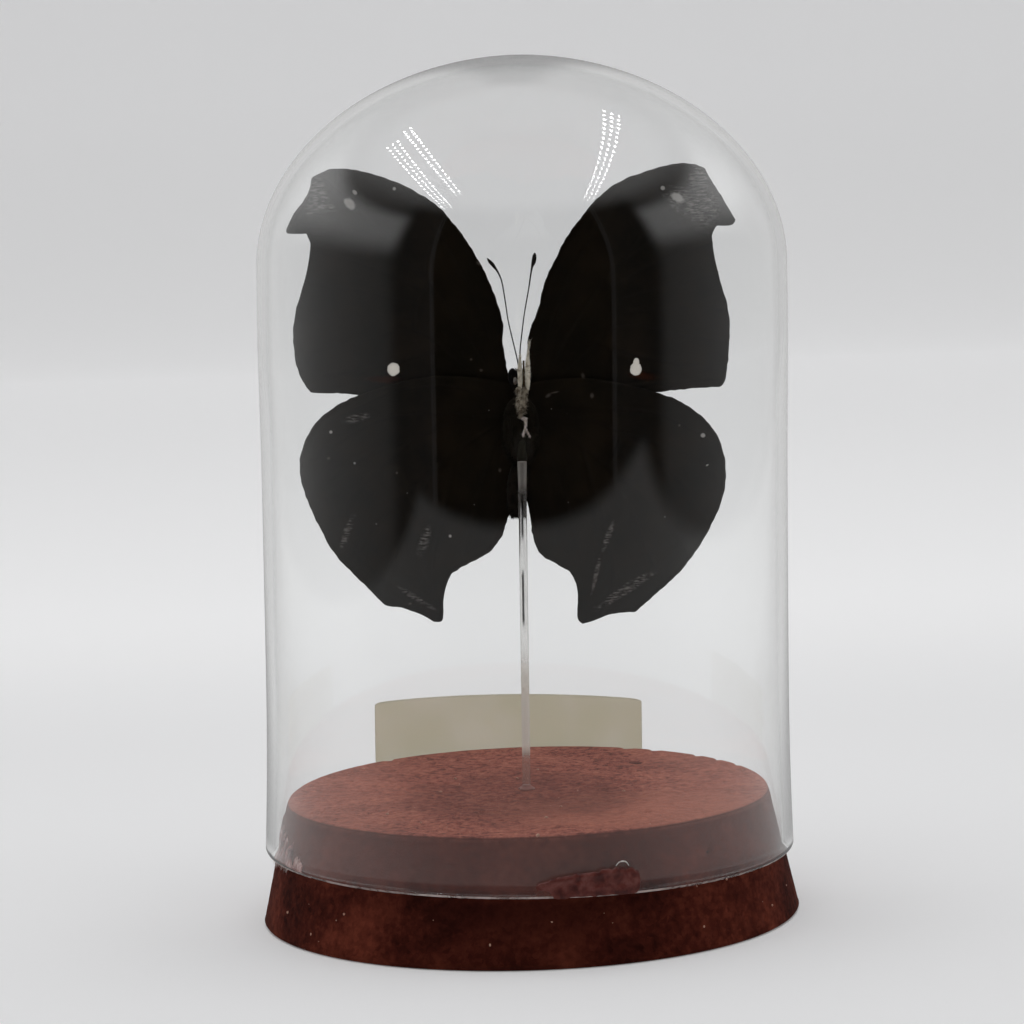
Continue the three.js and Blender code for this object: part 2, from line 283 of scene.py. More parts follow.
def letLightThrough(tree, shader):
    # Light on its way to what is inside goes straight through clear pieces and loses a tenth.
    path = node(tree, "LightPath")
    for ray in ("Is Shadow Ray", "Is Diffuse Ray"):
        clear = node(tree, "BsdfTransparent", {"Color": (0.9, 0.9, 0.9, 1)}).outputs[0]
        shader = node(tree, "MixShader", {0: path.outputs[ray], 1: shader, 2: clear}).outputs[0]
    return shader


def clearMaterial(name, colour, roughness, index):
    material, tree = newMaterial(name)[:2]
    shader = principled(tree, {
        "Base Color": (*colour, 1), "Roughness": roughness, "IOR": index, "Transmission Weight": 1.0,
    })
    finishMaterial(tree, letLightThrough(tree, shader))
    return material


# Glass dome.
dome = {
    "waistRadius": 49.88, "rimFlare": 0.75, "flareHeight": 34, "swell": 0.3, "swellHeight": 100,
    "swellWidth": 18, "shoulder": 111.9, "crown": 39.05, "crownPower": 1.95, "wall": 1.8,
    "rimRound": 1.1, "segments": 320, "sideRows": 70, "crownRows": 46, "ripple": 0.02,
    "colour": (0.992, 0.996, 0.994), "index": 1.47,
    "ground": (0.82, 0.70, 0.66), "groundHeight": 0.8,      # tone and height of the ground rim
    "groundShare": (0.15, 0.75),      # how much of it is frosted, least and most
}


def domeRadius(z):
    # A straight side with a flare that dies away above the rim and a slight swell at the shoulder.
    flare = dome["rimFlare"] * np.maximum(0, 1 - z / dome["flareHeight"]) ** 2
    swell = dome["swell"] * np.exp(-(((z - dome["swellHeight"]) / dome["swellWidth"]) ** 2))
    return dome["waistRadius"] + flare + swell


def domeWall(inset):
    # Radius and height up one wall: the side, then a superellipse up to the axis.
    z = np.linspace(dome["rimRound"], dome["shoulder"], dome["sideRows"])
    angle = np.linspace(0, math.pi / 2, dome["crownRows"] + 1)[1:]
    power = 2 / dome["crownPower"]
    shoulder = domeRadius(dome["shoulder"]) - inset
    crownRadius = shoulder * np.maximum(np.cos(angle), 0) ** power
    crownHeight = dome["shoulder"] + (dome["crown"] - inset) * np.sin(angle) ** power
    return np.concatenate([domeRadius(z) - inset, crownRadius]), np.concatenate([z, crownHeight])


def makeDome():
    # The wall's section, from the inner top down, round the rim and up to the outer top,
    # turned about the axis, with a slow ripple in the radius as blown glass has.
    innerR, innerZ = domeWall(dome["wall"])
    outerR, outerZ = domeWall(0)
    half = dome["wall"] / 2
    around = np.linspace(math.pi, 2 * math.pi, 13)[1:-1]
    rimR = domeRadius(0) - half + half * np.cos(around)
    rimZ = dome["rimRound"] * (1 + np.sin(around))
    radius = np.concatenate([innerR[::-1], rimR, outerR])
    height = np.concatenate([innerZ[::-1], rimZ, outerZ])
    keep = radius > 0.05
    radius, height = radius[keep], height[keep]
    turn = np.linspace(0, 2 * math.pi, dome["segments"], endpoint=False)
    grid = np.stack([
        radius[:, None] * np.cos(turn), radius[:, None] * np.sin(turn),
        np.broadcast_to(height[:, None], (len(height), len(turn))),
    ], axis=-1)
    swing = dome["ripple"] * wobble(grid * np.array([1, 1, 0.35]), 14.0)
    grid[..., :2] *= (1 + swing / dome["waistRadius"])[..., None]
    skin = closedRows(leaned(grid))
    glass = clearMaterial("clearDomeGlass", dome["colour"], 0.0, dome["index"])
    onRim = (height[:-1] < dome["groundHeight"]) & (height[1:] < dome["groundHeight"])
    slots = np.repeat(onRim, dome["segments"]).astype(np.int32)
    addPiece("glassDome", skin, [glass, groundRimMaterial()], ["glass_dome"], slots)


def groundRimMaterial():
    # The rim's rounded edge is ground: whitish patches of varying strength on clear glass.
    material, tree, place = newMaterial("groundRim")
    patches = noise(tree, place, 0.16, 4.0, 0.65)
    clear = principled(tree, {
        "Base Color": (*dome["colour"], 1), "Roughness": 0.08, "IOR": dome["index"],
        "Transmission Weight": 1.0,
    })
    white = node(tree, "BsdfDiffuse", {"Color": (*dome["ground"], 1)}).outputs[0]
    milk = node(tree, "BsdfTranslucent", {"Color": (*dome["ground"], 1)}).outputs[0]
    frost = node(tree, "MixShader", {0: 0.5, 1: white, 2: milk}).outputs[0]
    share = between(tree, patches, 0.35, 0.65, *dome["groundShare"])
    shader = node(tree, "MixShader", {0: share, 1: clear, 2: frost}).outputs[0]
    finishMaterial(tree, letLightThrough(tree, shader))
    return material


makeDome()

# Cork plug.
cork = {
    "bottomRadius": 51.4, "topRadius": 46.05, "height": 23.9, "edge": 0.9, "topEdge": 0.5,
    "holeX": -0.24, "holeRadius": 1.08, "holeDepth": 11.0, "segments": 500, "topRows": 104,
    "grain": 0.08, "grainSize": 1.5,      # height and size of the granules
    "flake": 0.13, "flakeSize": 1.7,      # step height and size of the lifted flakes on the top
    # Torn-out granules on the top: x, y, half size. More are scattered at random.
    "pits": [
        (21.5, 25.2, 1.1), (33.3, 0.7, 0.6), (22.0, -25.4, 0.8), (5.1, -27.3, 0.6), (-24.7, 6.9, 0.5),
        (-18.9, 10.1, 0.6), (-24.5, -0.3, 0.6), (-29.3, -28.1, 0.7), (-7.4, -8.4, 0.6), (-8.7, -21.0, 0.7),
    ],
    "brokenEdge": (24, 33, 41, 55, 63, 128), "brokenSize": 0.8,      # angles of chips off the top edge
    "loosePits": 110, "pitDepth": 0.7,
    # Bare bits of cork: x, y, half size on the top, then angle in degrees, height, half size on the side.
    "topBits": [
        (2.1, 20.1, 0.30), (18.3, -4.8, 0.32), (6.1, -18.7, 0.34), (-14.1, 13.4, 0.26), (-16.7, 0.4, 0.3),
        (-32.7, 27.5, 0.3), (-2.0, 11.2, 0.24), (-26.3, -19.9, 0.26), (-19.8, -29.7, 0.25),
        (1.5, -45.4, 0.55), (3.2, -28.9, 0.45), (9.5, -3.0, 0.2),
    ],
    "sideBits": [
        (-156.0, 5.7, 0.26), (-134.3, 8.3, 0.22), (-144.4, 3.4, 0.24), (-98.9, 4.8, 0.24), (-85.9, 8.6, 0.2),
        (-51.3, 4.6, 0.22), (-26.8, 4.5, 0.24), (-42.2, 11.9, 0.26), (-51.4, 11.9, 0.22),
    ],
    "looseBits": 34,
    "sideDeep": (0.026, 0.0048, 0.003), "side": (0.070, 0.013, 0.0075), "sideWarm": (0.17, 0.038, 0.021),
    "sideDry": (0.27, 0.075, 0.052),
    "topDeep": (0.105, 0.026, 0.018), "top": (0.32, 0.089, 0.062), "topWarm": (0.50, 0.175, 0.115),
    "bare": (0.60, 0.44, 0.33),
    # Patches of the top as x, y and half sizes, and how far each is stained or warmed.
    "stainedPatch": (-1, -6, 17, 19), "stained": 0.44, "warmPatch": (22, -24, 20, 13), "warmed": 0.45,
}


def corkRadius(z):
    # The taper's radius falls evenly from the bottom to the top.
    return cork["bottomRadius"] + (cork["topRadius"] - cork["bottomRadius"]) * z / cork["height"]


def corkProfile():
    # Radius and height from the hole's foot up to its rim, over the top, down the taper and
    # under to the middle, with the share of the way from the hole's axis to the plug's own.
    top, edge, topEdge = cork["height"], cork["edge"], cork["topEdge"]
    holeRows, underRows = 8, 22
    holeZ = np.linspace(top - cork["holeDepth"], top - 0.2, holeRows)
    across = np.linspace(cork["holeRadius"] + 0.15, cork["topRadius"] - topEdge, cork["topRows"])
    bend = np.linspace(0, math.pi / 2, 5)[1:]
    down = np.linspace(top - topEdge, edge, 52)[1:]
    under = np.linspace(cork["bottomRadius"] - edge, 1.0, underRows)
    radius = np.concatenate([
        np.full(holeRows, cork["holeRadius"]), across, cork["topRadius"] - topEdge * (1 - np.sin(bend)),
        corkRadius(down), cork["bottomRadius"] - edge * (1 - np.cos(bend)), under,
    ])
    height = np.concatenate([
        holeZ, np.full(cork["topRows"], top), top - topEdge * (1 - np.cos(bend)), down,
        edge * (1 - np.sin(bend)), np.zeros(underRows),
    ])
    return radius, height


def corkPits():
    # Every torn-out granule as x, y, z and half size: the named ones, broken bits of the top
    # edge, and loose ones spread over the top and the side.
    rng = np.random.default_rng(21)
    top, edge = cork["height"], cork["topRadius"]
    spots = [(x, y, top, size) for x, y, size in cork["pits"]]
    for degrees in cork["brokenEdge"]:
        angle = math.radians(degrees)
        spots.append((edge * math.cos(angle), edge * math.sin(angle), top, cork["brokenSize"]))
    for number in range(cork["loosePits"]):
        angle, size = rng.uniform(0, 2 * math.pi), rng.uniform(0.3, 0.55)
        onSide = number % 2 == 1
        z = rng.uniform(2, 22) if onSide else top
        reach = corkRadius(z) if onSide else (edge - 2) * math.sqrt(rng.uniform(0.02, 1))
        spots.append((reach * math.cos(angle), reach * math.sin(angle), z, size))
    return spots


def makeCork():
    # The section turned round Z, with granules and torn pits pushed in along the surface.
    radius, height = corkProfile()
    turn = np.linspace(0, 2 * math.pi, cork["segments"], endpoint=False)
    share = 1 - smoothstep(cork["holeRadius"], 12, radius)
    grid = np.stack([
        radius[:, None] * np.cos(turn) + (cork["holeX"] * share)[:, None], radius[:, None] * np.sin(turn),
        np.broadcast_to(height[:, None], (len(radius), len(turn))),
    ], axis=-1)
    normal = np.cross(np.gradient(grid, axis=1), np.gradient(grid, axis=0))
    normal /= np.linalg.norm(normal, axis=-1, keepdims=True) + 1e-12
    middleOfTop = 60      # a row of the section where the skin has to face up
    normal *= np.sign(normal[middleOfTop, 0, 2])
    grains = rough(grid * np.array([1, 1, 1.3]), cork["grainSize"])
    onTop = smoothstep(cork["height"] - 0.1, cork["height"], height) * smoothstep(3, 6, radius)
    onTop = onTop * (1 - smoothstep(cork["topRadius"] - 2.5, cork["topRadius"] - 0.8, radius))
    sink = cork["grain"] * (0.35 + 0.65 * onTop)[:, None] * (np.minimum(grains, 0.35) - 0.35)
    lifted = smoothstep(-0.15, 0.15, rough(grid * np.array([0.55, 0.9, 1.0]) + 40, cork["flakeSize"]))
    sink -= cork["flake"] * onTop[:, None] * (1 - lifted)
    for x, y, z, size in corkPits():
        away = np.linalg.norm((grid - np.array([x, y, z])) * np.array([0.65, 1, 1]), axis=-1)
        sink -= cork["pitDepth"] * size * np.exp(-((away / size) ** 3))
    hole = cork["holeRadius"]
    sink *= (smoothstep(0.0, 1.2, height) * smoothstep(hole - 0.05, hole + 1.4, radius))[:, None]
    grid = grid + normal * sink[..., None]
    depth = np.concatenate([sink.ravel(), [0, 0]])
    skin = closedRows(grid)
    addPiece("corkPlug", skin, [corkMaterial()], ["cork_base"], attributes={"sink": depth})


def makeCorkBits():
    # Small lumpy crumbs of unstained cork, half sunk where they lie.
    rng = np.random.default_rng(22)
    top = cork["height"]
    spots = [(x, y, top, size) for x, y, size in cork["topBits"]]
    side = list(cork["sideBits"])
    for number in range(cork["looseBits"]):
        size = rng.uniform(0.07, 0.13)
        if number % 3:
            angle = rng.uniform(0, 2 * math.pi)
            reach = (cork["topRadius"] - 1) * math.sqrt(rng.uniform(0.01, 1))
            spots.append((reach * math.cos(angle), reach * math.sin(angle), top, size))
        else:
            side.append((rng.uniform(0, 360), rng.uniform(2, 12), size))
    for degrees, z, size in side:
        angle = math.radians(degrees)
        spots.append((corkRadius(z) * math.cos(angle), corkRadius(z) * math.sin(angle), z, size))
    skins = []
    for x, y, z, size in spots:
        points, quads, tris = ball((0, 0, 0), size * rng.uniform(0.6, 1.3, 3), 5, 8)
        points = points * (1 + 0.25 * wobble(points + rng.uniform(0, 30, 3), size))[:, None]
        skins.append((points + np.array([x, y, z - 0.04]), quads, tris))
    addPiece("corkBits", joined(skins), [bareCorkMaterial()])


def bareCorkMaterial():
    material, tree, place = newMaterial("bareCork")
    fine = noise(tree, place, 2.5, 4.0)
    shader = principled(tree, {
        "Base Color": tint(tree, fine, cork["topWarm"], cork["bare"]), "Roughness": 0.85,
        "Specular IOR Level": 0.2, "Normal": bumped(tree, fine, 0.5, 0.0001),
    })
    finishMaterial(tree, shader)
    return material


def topPatch(tree, place, patch, ragged):
    # 1 in the middle of an oval patch of the top, fading to 0 at a wandering edge.
    x, y, wide, deep = patch
    moved = node(tree, "VectorMath", {0: place, 1: (x, y, 0)}, operation="SUBTRACT").outputs[0]
    scaled = node(tree, "VectorMath", {0: moved, 1: (1 / wide, 1 / deep, 0)}, operation="MULTIPLY").outputs[0]
    reach = node(tree, "VectorMath", {0: scaled}, operation="LENGTH").outputs["Value"]
    return between(tree, calc(tree, "ADD", reach, calc(tree, "MULTIPLY", ragged, 1.6)), 0.9, 1.7, 1.0, 0.0)


def corkMaterial():
    # Small granules, each with a slightly different shade, under soft mottling of two sizes. The
    # side is steeped dark, and the dry top is lighter, browner about the rod and orange in front.
    material, tree, place = newMaterial("stainedCork")
    wander = node(tree, "TexNoise", {"Scale": 0.9, "Detail": 3.0, "Vector": place}).outputs["Color"]
    wander = node(tree, "VectorMath", {0: wander, 1: (0.9, 0.9, 0.9)}, operation="MULTIPLY").outputs[0]
    bent = node(tree, "VectorMath", {0: place, 1: wander}, operation="ADD").outputs[0]
    granules = node(tree, "TexVoronoi", {"Scale": 1.1, "Vector": bent})
    shade = node(tree, "SeparateColor", {0: granules.outputs["Color"]}).outputs[0]
    chips = node(tree, "TexVoronoi", {"Scale": 2.8, "Vector": bent})
    chipShade = node(tree, "SeparateColor", {0: chips.outputs["Color"]}).outputs[1]
    fine = noise(tree, place, 3.2, 5.0, 0.65)
    medium = noise(tree, place, 0.62, 4.0, 0.6)
    broad = noise(tree, place, 0.075, 3.0)
    sideShade, topShade = 0.5, 0.5
    for part, onSide, onTop in (
        (shade, 0.12, 0.26), (chipShade, 0.04, 0.2), (fine, 0.12, 0.42), (medium, 0.45, 0.75),
        (broad, 1.0, 0.55),
    ):
        part = calc(tree, "SUBTRACT", part, 0.5)
        sideShade = calc(tree, "ADD", calc(tree, "MULTIPLY", part, onSide), sideShade)
        topShade = calc(tree, "ADD", calc(tree, "MULTIPLY", part, onTop), topShade)
    side = ramp(tree, sideShade, [(0.28, cork["sideDeep"]), (0.48, cork["side"]), (0.78, cork["sideWarm"])])
    top = ramp(tree, topShade, [(0.22, cork["topDeep"]), (0.48, cork["top"]), (0.78, cork["topWarm"])])
    ragged = calc(tree, "SUBTRACT", noise(tree, place, 0.12, 5.0, 0.6), 0.5)
    warm = topPatch(tree, place, cork["warmPatch"], ragged)
    top = tint(tree, calc(tree, "MULTIPLY", warm, cork["warmed"]), top, cork["topWarm"])
    stained = topPatch(tree, place, cork["stainedPatch"], ragged)
    top = tint(tree, calc(tree, "MULTIPLY", stained, cork["stained"]), top, cork["topDeep"])
    facing = node(tree, "SeparateXYZ", {0: node(tree, "NewGeometry").outputs["True Normal"]}).outputs[2]
    x, y, height = node(tree, "SeparateXYZ", {0: place}).outputs
    # The side is lighter above the rim. Low down in front it is darkest just under the rim: painted shade of
    # the dome's rim on the side that faces the dark front.
    side = tint(tree, between(tree, height, 12.5, 16, 0.0, 0.34), side, cork["sideDry"])
    offMiddle = calc(tree, "ABSOLUTE", x)
    paintedFrontShade = between(tree, offMiddle, 6, 36, 0.75, 0.0)
    paintedFrontShade = calc(tree, "MULTIPLY", paintedFrontShade, between(tree, y, -20, 0, 1.0, 0.0))
    low = between(tree, height, 2, 11, 0.55, 1.0)
    low = calc(tree, "MULTIPLY", low, between(tree, height, 11, 15, 1.0, 0.0))
    side = tint(tree, calc(tree, "MULTIPLY", paintedFrontShade, low), side, cork["sideDeep"])
    # The top is lighter to the left and the right: painted sheen of light glancing off it there.
    top = tint(tree, between(tree, offMiddle, 14, 34, 0.0, 0.32), top, cork["topWarm"])
    isTop = calc(tree, "MULTIPLY", between(tree, facing, 0.3, 0.85), between(tree, height, 22.6, 23.2))
    colour = tint(tree, isTop, side, top)
    # Hollows and pits are darkened by their depth towards the deep side colour: painted shade in the hollows.
    hollowShadeDepth = node(tree, "Attribute", attribute_name="sink").outputs["Fac"]
    colour = tint(tree, between(tree, hollowShadeDepth, -0.70, -0.24, 0.85, 0.0), colour, cork["sideDeep"])
    relief = calc(tree, "ADD", calc(tree, "MULTIPLY", fine, 0.7), calc(tree, "MULTIPLY", chipShade, 0.3))
    shader = principled(tree, {
        "Base Color": colour, "Roughness": between(tree, fine, 0.2, 0.8, 0.7, 0.95),
        "Specular IOR Level": 0.04, "Normal": bumped(tree, relief, 0.3, 0.0002),
    })
    finishMaterial(tree, shader)
    return material


makeCork()
makeCorkBits()

# Rod and its glue.
rod = {
    "radius": 0.78, "x": -0.45, "top": 74.1, "bottom": 0.3, "flaredRadius": 0.88, "flareLength": 5.6,
    "sides": 48, "low": (0.95, 0.945, 0.93), "high": (0.87, 0.865, 0.86), "index": 1.49,
    "haze": 0.14, "milk": (0.56, 0.53, 0.49), "pale": (0.97, 0.93, 0.84), "outline": (0.60, 0.59, 0.58),
    # Thin dark streaks on the rod's front: painted refraction of the dark body and wings behind it.
    "refractedStreaks": [(71.5, 81.5, -0.1, 0.21), (55.0, 67.0, -0.14, 0.21)],   # from, to, sideways, half width
    "refractedStreakDark": (0.012, 0.011, 0.010),
}
glue = {
    "foot": (0.42, 0.165, 0.130), "top": (0.034, 0.031, 0.022), "index": 1.46, "shine": 0.12,
    "footHeight": 11.02, "footReach": 1.45,      # where the puddle lies and its least half width
}


def frostedRodMaterial():
    # Clear but greyed, scuffed white by glue at its upper end and a little all the way down. A pale band part
    # way up is painted reflection, its outline is greyed as painted shade, and two thin dark streaks along
    # the middle of its front are painted refraction of the dark body and wings behind it.
    material, tree, place = newMaterial("clearRod")
    x, y, height = node(tree, "SeparateXYZ", {0: place}).outputs
    smear = between(tree, height, 79.5, 84.0)
    streak = noise(tree, node(tree, "Mapping", {"Vector": place, "Scale": (3, 3, 0.2)}).outputs[0], 1.0, 3.0)
    haze = between(tree, streak, 0.3, 0.7, rod["haze"] * 0.6, rod["haze"] * 1.3)
    share = calc(tree, "MAXIMUM", haze, calc(tree, "MULTIPLY", smear, 0.75))
    # A pale translucent band part way up the rod: painted reflection of the bright surroundings.
    paintedReflectionBand = calc(tree, "MULTIPLY", between(tree, height, 29.5, 33), between(tree, height, 42, 52, 0.75, 0.0))
    greyed = tint(tree, between(tree, height, 50, 82), rod["low"], rod["high"])
    # Seen at a glancing angle the rod is greyed: painted shade along its outline.
    grazing = node(tree, "LayerWeight", {"Blend": 0.5}).outputs["Facing"]
    greyed = tint(tree, between(tree, grazing, 0.30, 0.75), greyed, rod["outline"])
    clear = principled(tree, {
        "Base Color": greyed, "Roughness": 0.02, "IOR": rod["index"], "Transmission Weight": 1.0,
    })
    milky = node(tree, "BsdfTranslucent", {"Color": (*rod["milk"], 1)}).outputs[0]
    white = principled(tree, {"Base Color": (*rod["milk"], 1), "Roughness": 0.5})
    frost = node(tree, "MixShader", {0: 0.6, 1: white, 2: milky}).outputs[0]
    shader = node(tree, "MixShader", {0: share, 1: clear, 2: frost}).outputs[0]
    pale = node(tree, "BsdfTranslucent", {"Color": (*rod["pale"], 1)}).outputs[0]
    shader = node(tree, "MixShader", {0: paintedReflectionBand, 1: shader, 2: pale}).outputs[0]
    # How far a point lies to the right of the leaning rod's middle.
    above = calc(tree, "SUBTRACT", height, lean["rimHeight"])
    leanX = calc(tree, "MULTIPLY", above, math.tan(math.radians(lean["degrees"])))
    off = calc(tree, "SUBTRACT", calc(tree, "SUBTRACT", x, leanX), rod["x"])
    # Dark streaks on the front face only: painted refraction of the dark body and wings behind the rod.
    dark = principled(tree, {"Base Color": (*rod["refractedStreakDark"], 1), "Roughness": 0.6, "Specular IOR Level": 0.1})
    for low, high, shift, half in rod["refractedStreaks"]:
        across = calc(tree, "ABSOLUTE", calc(tree, "SUBTRACT", off, shift))
        ends = calc(tree, "MULTIPLY", between(tree, height, low, low + 2),
                    between(tree, height, high - 2, high, 1.0, 0.0))
        mask = calc(tree, "MULTIPLY", between(tree, across, half * 0.7, half * 1.2, 0.92, 0.0), ends)
        mask = calc(tree, "MULTIPLY", mask, calc(tree, "LESS_THAN", y, 0.0))
        shader = node(tree, "MixShader", {0: mask, 1: shader, 2: dark}).outputs[0]
    finishMaterial(tree, letLightThrough(tree, shader))
    return material


def makeRod():
    # A straight cylinder that widens over its last few millimetres, with a rounded rim.
    low, high = rod["bottom"], rod["top"]
    upper = np.linspace(high - 8, high - 0.06, 30)[1:]
    z = np.concatenate([np.linspace(low, high - 8, 60), upper, [high]])
    flare = smoothstep(high - rod["flareLength"], high, z) * (rod["flaredRadius"] - rod["radius"])
    radius = rod["radius"] + flare
    radius[-1] -= 0.06
    radius[0] -= 0.1
    centres = np.stack([np.full(len(z), rod["x"]), np.zeros(len(z)), z], axis=-1)
    skin = closedRows(leaned(tubeGrid(centres, radius, rod["sides"])))
    addPiece("supportRod", skin, [frostedRodMaterial()], ["support_rod"])


def glueMaterial(name, colour, clearness):
    material, tree, place = newMaterial(name)
    lumps = noise(tree, place, 1.3, 3.0)
    shader = principled(tree, {
        "Base Color": tint(tree, lumps, tuple(c * 0.7 for c in colour), colour),
        "Roughness": 0.4, "IOR": glue["index"], "Transmission Weight": clearness,
        "Specular IOR Level": glue["shine"], "Normal": bumped(tree, lumps, 0.3, 0.0002),
    })
    finishMaterial(tree, letLightThrough(tree, shader) if clearness > 0.5 else shader)
    return material


def makeFootGlue():
    # A low puddle round the rod: its height falls off with distance and its rim wanders.
    base = glue["footHeight"]
    angle = np.linspace(0, 2 * math.pi, 72, endpoint=False)
    edge = glue["footReach"] + 0.3 * np.sin(angle - 0.6) ** 2
    edge = edge + 0.12 * np.sin(3 * angle + 1) + 0.06 * np.sin(7 * angle)
    share = np.array([1.0, 1.0, 0.96, 0.85, 0.7, 0.55, 0.5])
    lift = np.array([-0.3, 0.0, 0.1, 0.22, 0.34, 0.55, 0.75])
    inner = rod["radius"] + 0.02
    radius = inner + (edge[None] - inner) * ((share[:, None] - 0.5) / 0.5)
    grid = np.stack([
        rod["x"] + radius * np.cos(angle), radius * np.sin(angle),
        np.broadcast_to(base + lift[:, None], radius.shape),
    ], axis=-1)
    skin = closedRows(leaned(grid))
    puddle = glueMaterial("footGlue", glue["foot"], 0.25)
    addPiece("rodFootGlue", skin, [puddle], ["rod_foot_glue"])


makeRod()
makeFootGlue()

# Butterfly: body.
insect = np.array([-0.6, 4.1, 80.0])       # the middle of the thorax, in the leaning frame

# Each ring is x, y, height, half width, half depth about the middle of the thorax.
bodyRings = {
    "thorax": [
        (0, 0, -6.5, 0.9, 0.8), (0, 0, -5.0, 2.5, 2.0), (0, 0, -2.5, 3.3, 2.5), (0, 0, 0.0, 3.4, 2.7),
        (0, 0, 2.5, 3.2, 2.5), (0, 0, 4.6, 2.5, 2.1), (0, 0, 6.0, 1.2, 1.2)],
    "abdomen": [
        (-1.2, 0, -16.9, 0.5, 0.5), (-1.1, 0, -15.6, 1.5, 1.4), (-0.9, 0, -13.5, 1.85, 1.75),
        (-0.7, 0, -11.0, 2.0, 1.85), (-0.4, 0, -8.4, 1.85, 1.75), (-0.2, 0, -6.8, 1.3, 1.3)],
    "head": [
        (-0.1, -0.2, 6.2, 0.8, 0.8), (-0.1, -0.3, 7.4, 1.3, 1.2), (-0.2, -0.4, 8.4, 1.55, 1.4),
        (-0.2, -0.4, 9.6, 1.55, 1.4), (-0.1, -0.4, 10.5, 1.3, 1.2), (0.0, -0.4, 11.2, 0.6, 0.6)],
    "palp_left": [
        (-0.05, -2.75, 7.5, 0.2, 0.2), (0.0, -2.75, 9.0, 0.42, 0.42), (-0.02, -2.75, 11.5, 0.42, 0.4),
        (0.05, -2.75, 13.6, 0.1, 0.1)],
    "palp_right": [
        (1.45, -2.75, 7.5, 0.2, 0.2), (1.45, -2.75, 9.0, 0.46, 0.42), (1.48, -2.75, 12.0, 0.46, 0.4),
        (1.62, -2.75, 15.0, 0.16, 0.1), (1.8, -2.75, 16.0, 0.2, 0.06)],
    "antenna_left": [
        (-0.15, -0.5, 11.2, 0.14, 0.14), (-0.52, -0.4, 13.4, 0.12, 0.12), (-1.42, -0.2, 17.4, 0.12, 0.12),
        (-2.13, -0.1, 20.7, 0.11, 0.11), (-2.65, 0, 24.5, 0.12, 0.12), (-3.2, 0, 27.9, 0.13, 0.13),
        (-3.95, 0, 29.8, 0.19, 0.18), (-4.5, 0, 30.6, 0.32, 0.28), (-5.25, 0, 31.65, 0.45, 0.36),
        (-5.9, 0, 32.5, 0.1, 0.1)],
    "antenna_right": [
        (0.2, -0.5, 11.2, 0.14, 0.14), (0.06, -0.4, 14.5, 0.12, 0.12), (0.4, -0.2, 17.6, 0.12, 0.12),
        (0.92, 0, 21.4, 0.11, 0.11), (1.46, 0, 24.4, 0.12, 0.12), (1.97, 0, 27.1, 0.13, 0.13),
        (2.5, 0, 30.3, 0.19, 0.18), (2.9, 0, 31.6, 0.42, 0.36), (3.06, 0, 32.8, 0.38, 0.32),
        (3.12, 0, 33.4, 0.1, 0.1)],
    "foreleg_left": [
        (-0.05, -3.3, 2.6, 0.12, 0.12), (0.0, -3.3, 3.7, 0.45, 0.32), (-0.18, -3.3, 5.2, 0.62, 0.42),
        (-0.1, -3.2, 6.4, 0.52, 0.36), (-0.28, -3.05, 7.6, 0.5, 0.32), (-0.2, -2.9, 8.3, 0.25, 0.2)],
    "foreleg_right": [
        (0.7, -3.2, 3.4, 0.12, 0.12), (0.62, -3.15, 4.4, 0.42, 0.3), (0.74, -3.1, 5.7, 0.5, 0.36),
        (0.66, -3.05, 6.6, 0.5, 0.34), (1.0, -3.0, 7.5, 0.45, 0.3), (0.9, -2.9, 8.2, 0.2, 0.2)],
    "midleg_left": [
        (-1.4, -3.2, -3.2, 0.12, 0.12), (-1.9, -3.2, -0.5, 0.24, 0.2), (-2.3, -2.9, 2.6, 0.2, 0.18)],
    "midleg_right": [
        (0.45, -3.4, -1.3, 0.08, 0.08), (0.48, -3.4, -0.75, 0.28, 0.18), (0.72, -3.4, 0.0, 0.22, 0.16),
        (0.95, -3.4, 1.0, 0.24, 0.18), (0.86, -3.4, 1.8, 0.3, 0.2), (0.62, -3.4, 2.3, 0.7, 0.22),
        (0.62, -3.4, 2.52, 0.3, 0.12)],
    "midleg_fork": [
        (0.95, -3.4, 0.4, 0.12, 0.1), (1.25, -3.4, -0.3, 0.12, 0.1), (1.6, -3.4, -0.9, 0.10, 0.08),
        (1.75, -3.4, -1.25, 0.05, 0.05)],
    "rod_top_glue": [
        (0.15, -2.60, -9.4, 0.3, 0.2), (0.15, -2.60, -8.6, 0.8, 0.4), (0.15, -2.62, -5.9, 0.9, 0.38),
        (0.15, -3.25, -5.45, 1.0, 0.7), (0.2, -3.5, -4.0, 0.74, 0.42), (0.25, -3.5, -2.4, 0.6, 0.3),
        (0.3, -3.45, -1.9, 0.25, 0.15)],
}
# Middles and half sizes of the round parts of the head, from the middle of the thorax.
headBalls = {
    "eyeLeft": ((-1.42, -1.35, 10.1), (0.9, 0.95, 1.55)), "eyeRight": ((1.35, 0.2, 9.9), (0.95, 1.0, 1.4)),
    "cheek": ((-0.95, -2.3, 9.3), (0.36, 0.3, 0.75)),
}
tongueCoil = {"x": 0.72, "y": -2.55, "height": 10.7, "bulge": 0.18, "reach": 2.47, "radius": 0.19}
body = {
    "sides": 40, "rowsPerRing": 9,
    "dark": (0.0065, 0.0048, 0.0030), "brown": (0.017, 0.012, 0.008), "chest": (0.019, 0.0155, 0.0110),
    "back": (0.0150, 0.0108, 0.0062), "warm": (0.022, 0.0165, 0.0105), "grey": (0.054, 0.048, 0.038),
    "hazeMiddle": (1.2, 89.8), "hazeSize": (2.6, 3.7),      # the grey oval on the chest, in x and height
    "cream": (1.0, 0.94, 0.80), "tan": (0.52, 0.44, 0.33), "shade": (0.14, 0.105, 0.072),
    "legCream": (0.62, 0.55, 0.43), "white": (0.88, 0.80, 0.79), "cheek": (0.30, 0.28, 0.27),
    "eyeDark": (0.002, 0.0018, 0.0016), "eyeLight": (0.006, 0.005, 0.0045),
    "tongueDark": (0.05, 0.03, 0.012), "tongueLight": (0.12, 0.08, 0.04),
    "antennaDark": (0.010, 0.008, 0.007), "antennaLight": (0.028, 0.022, 0.018),
}
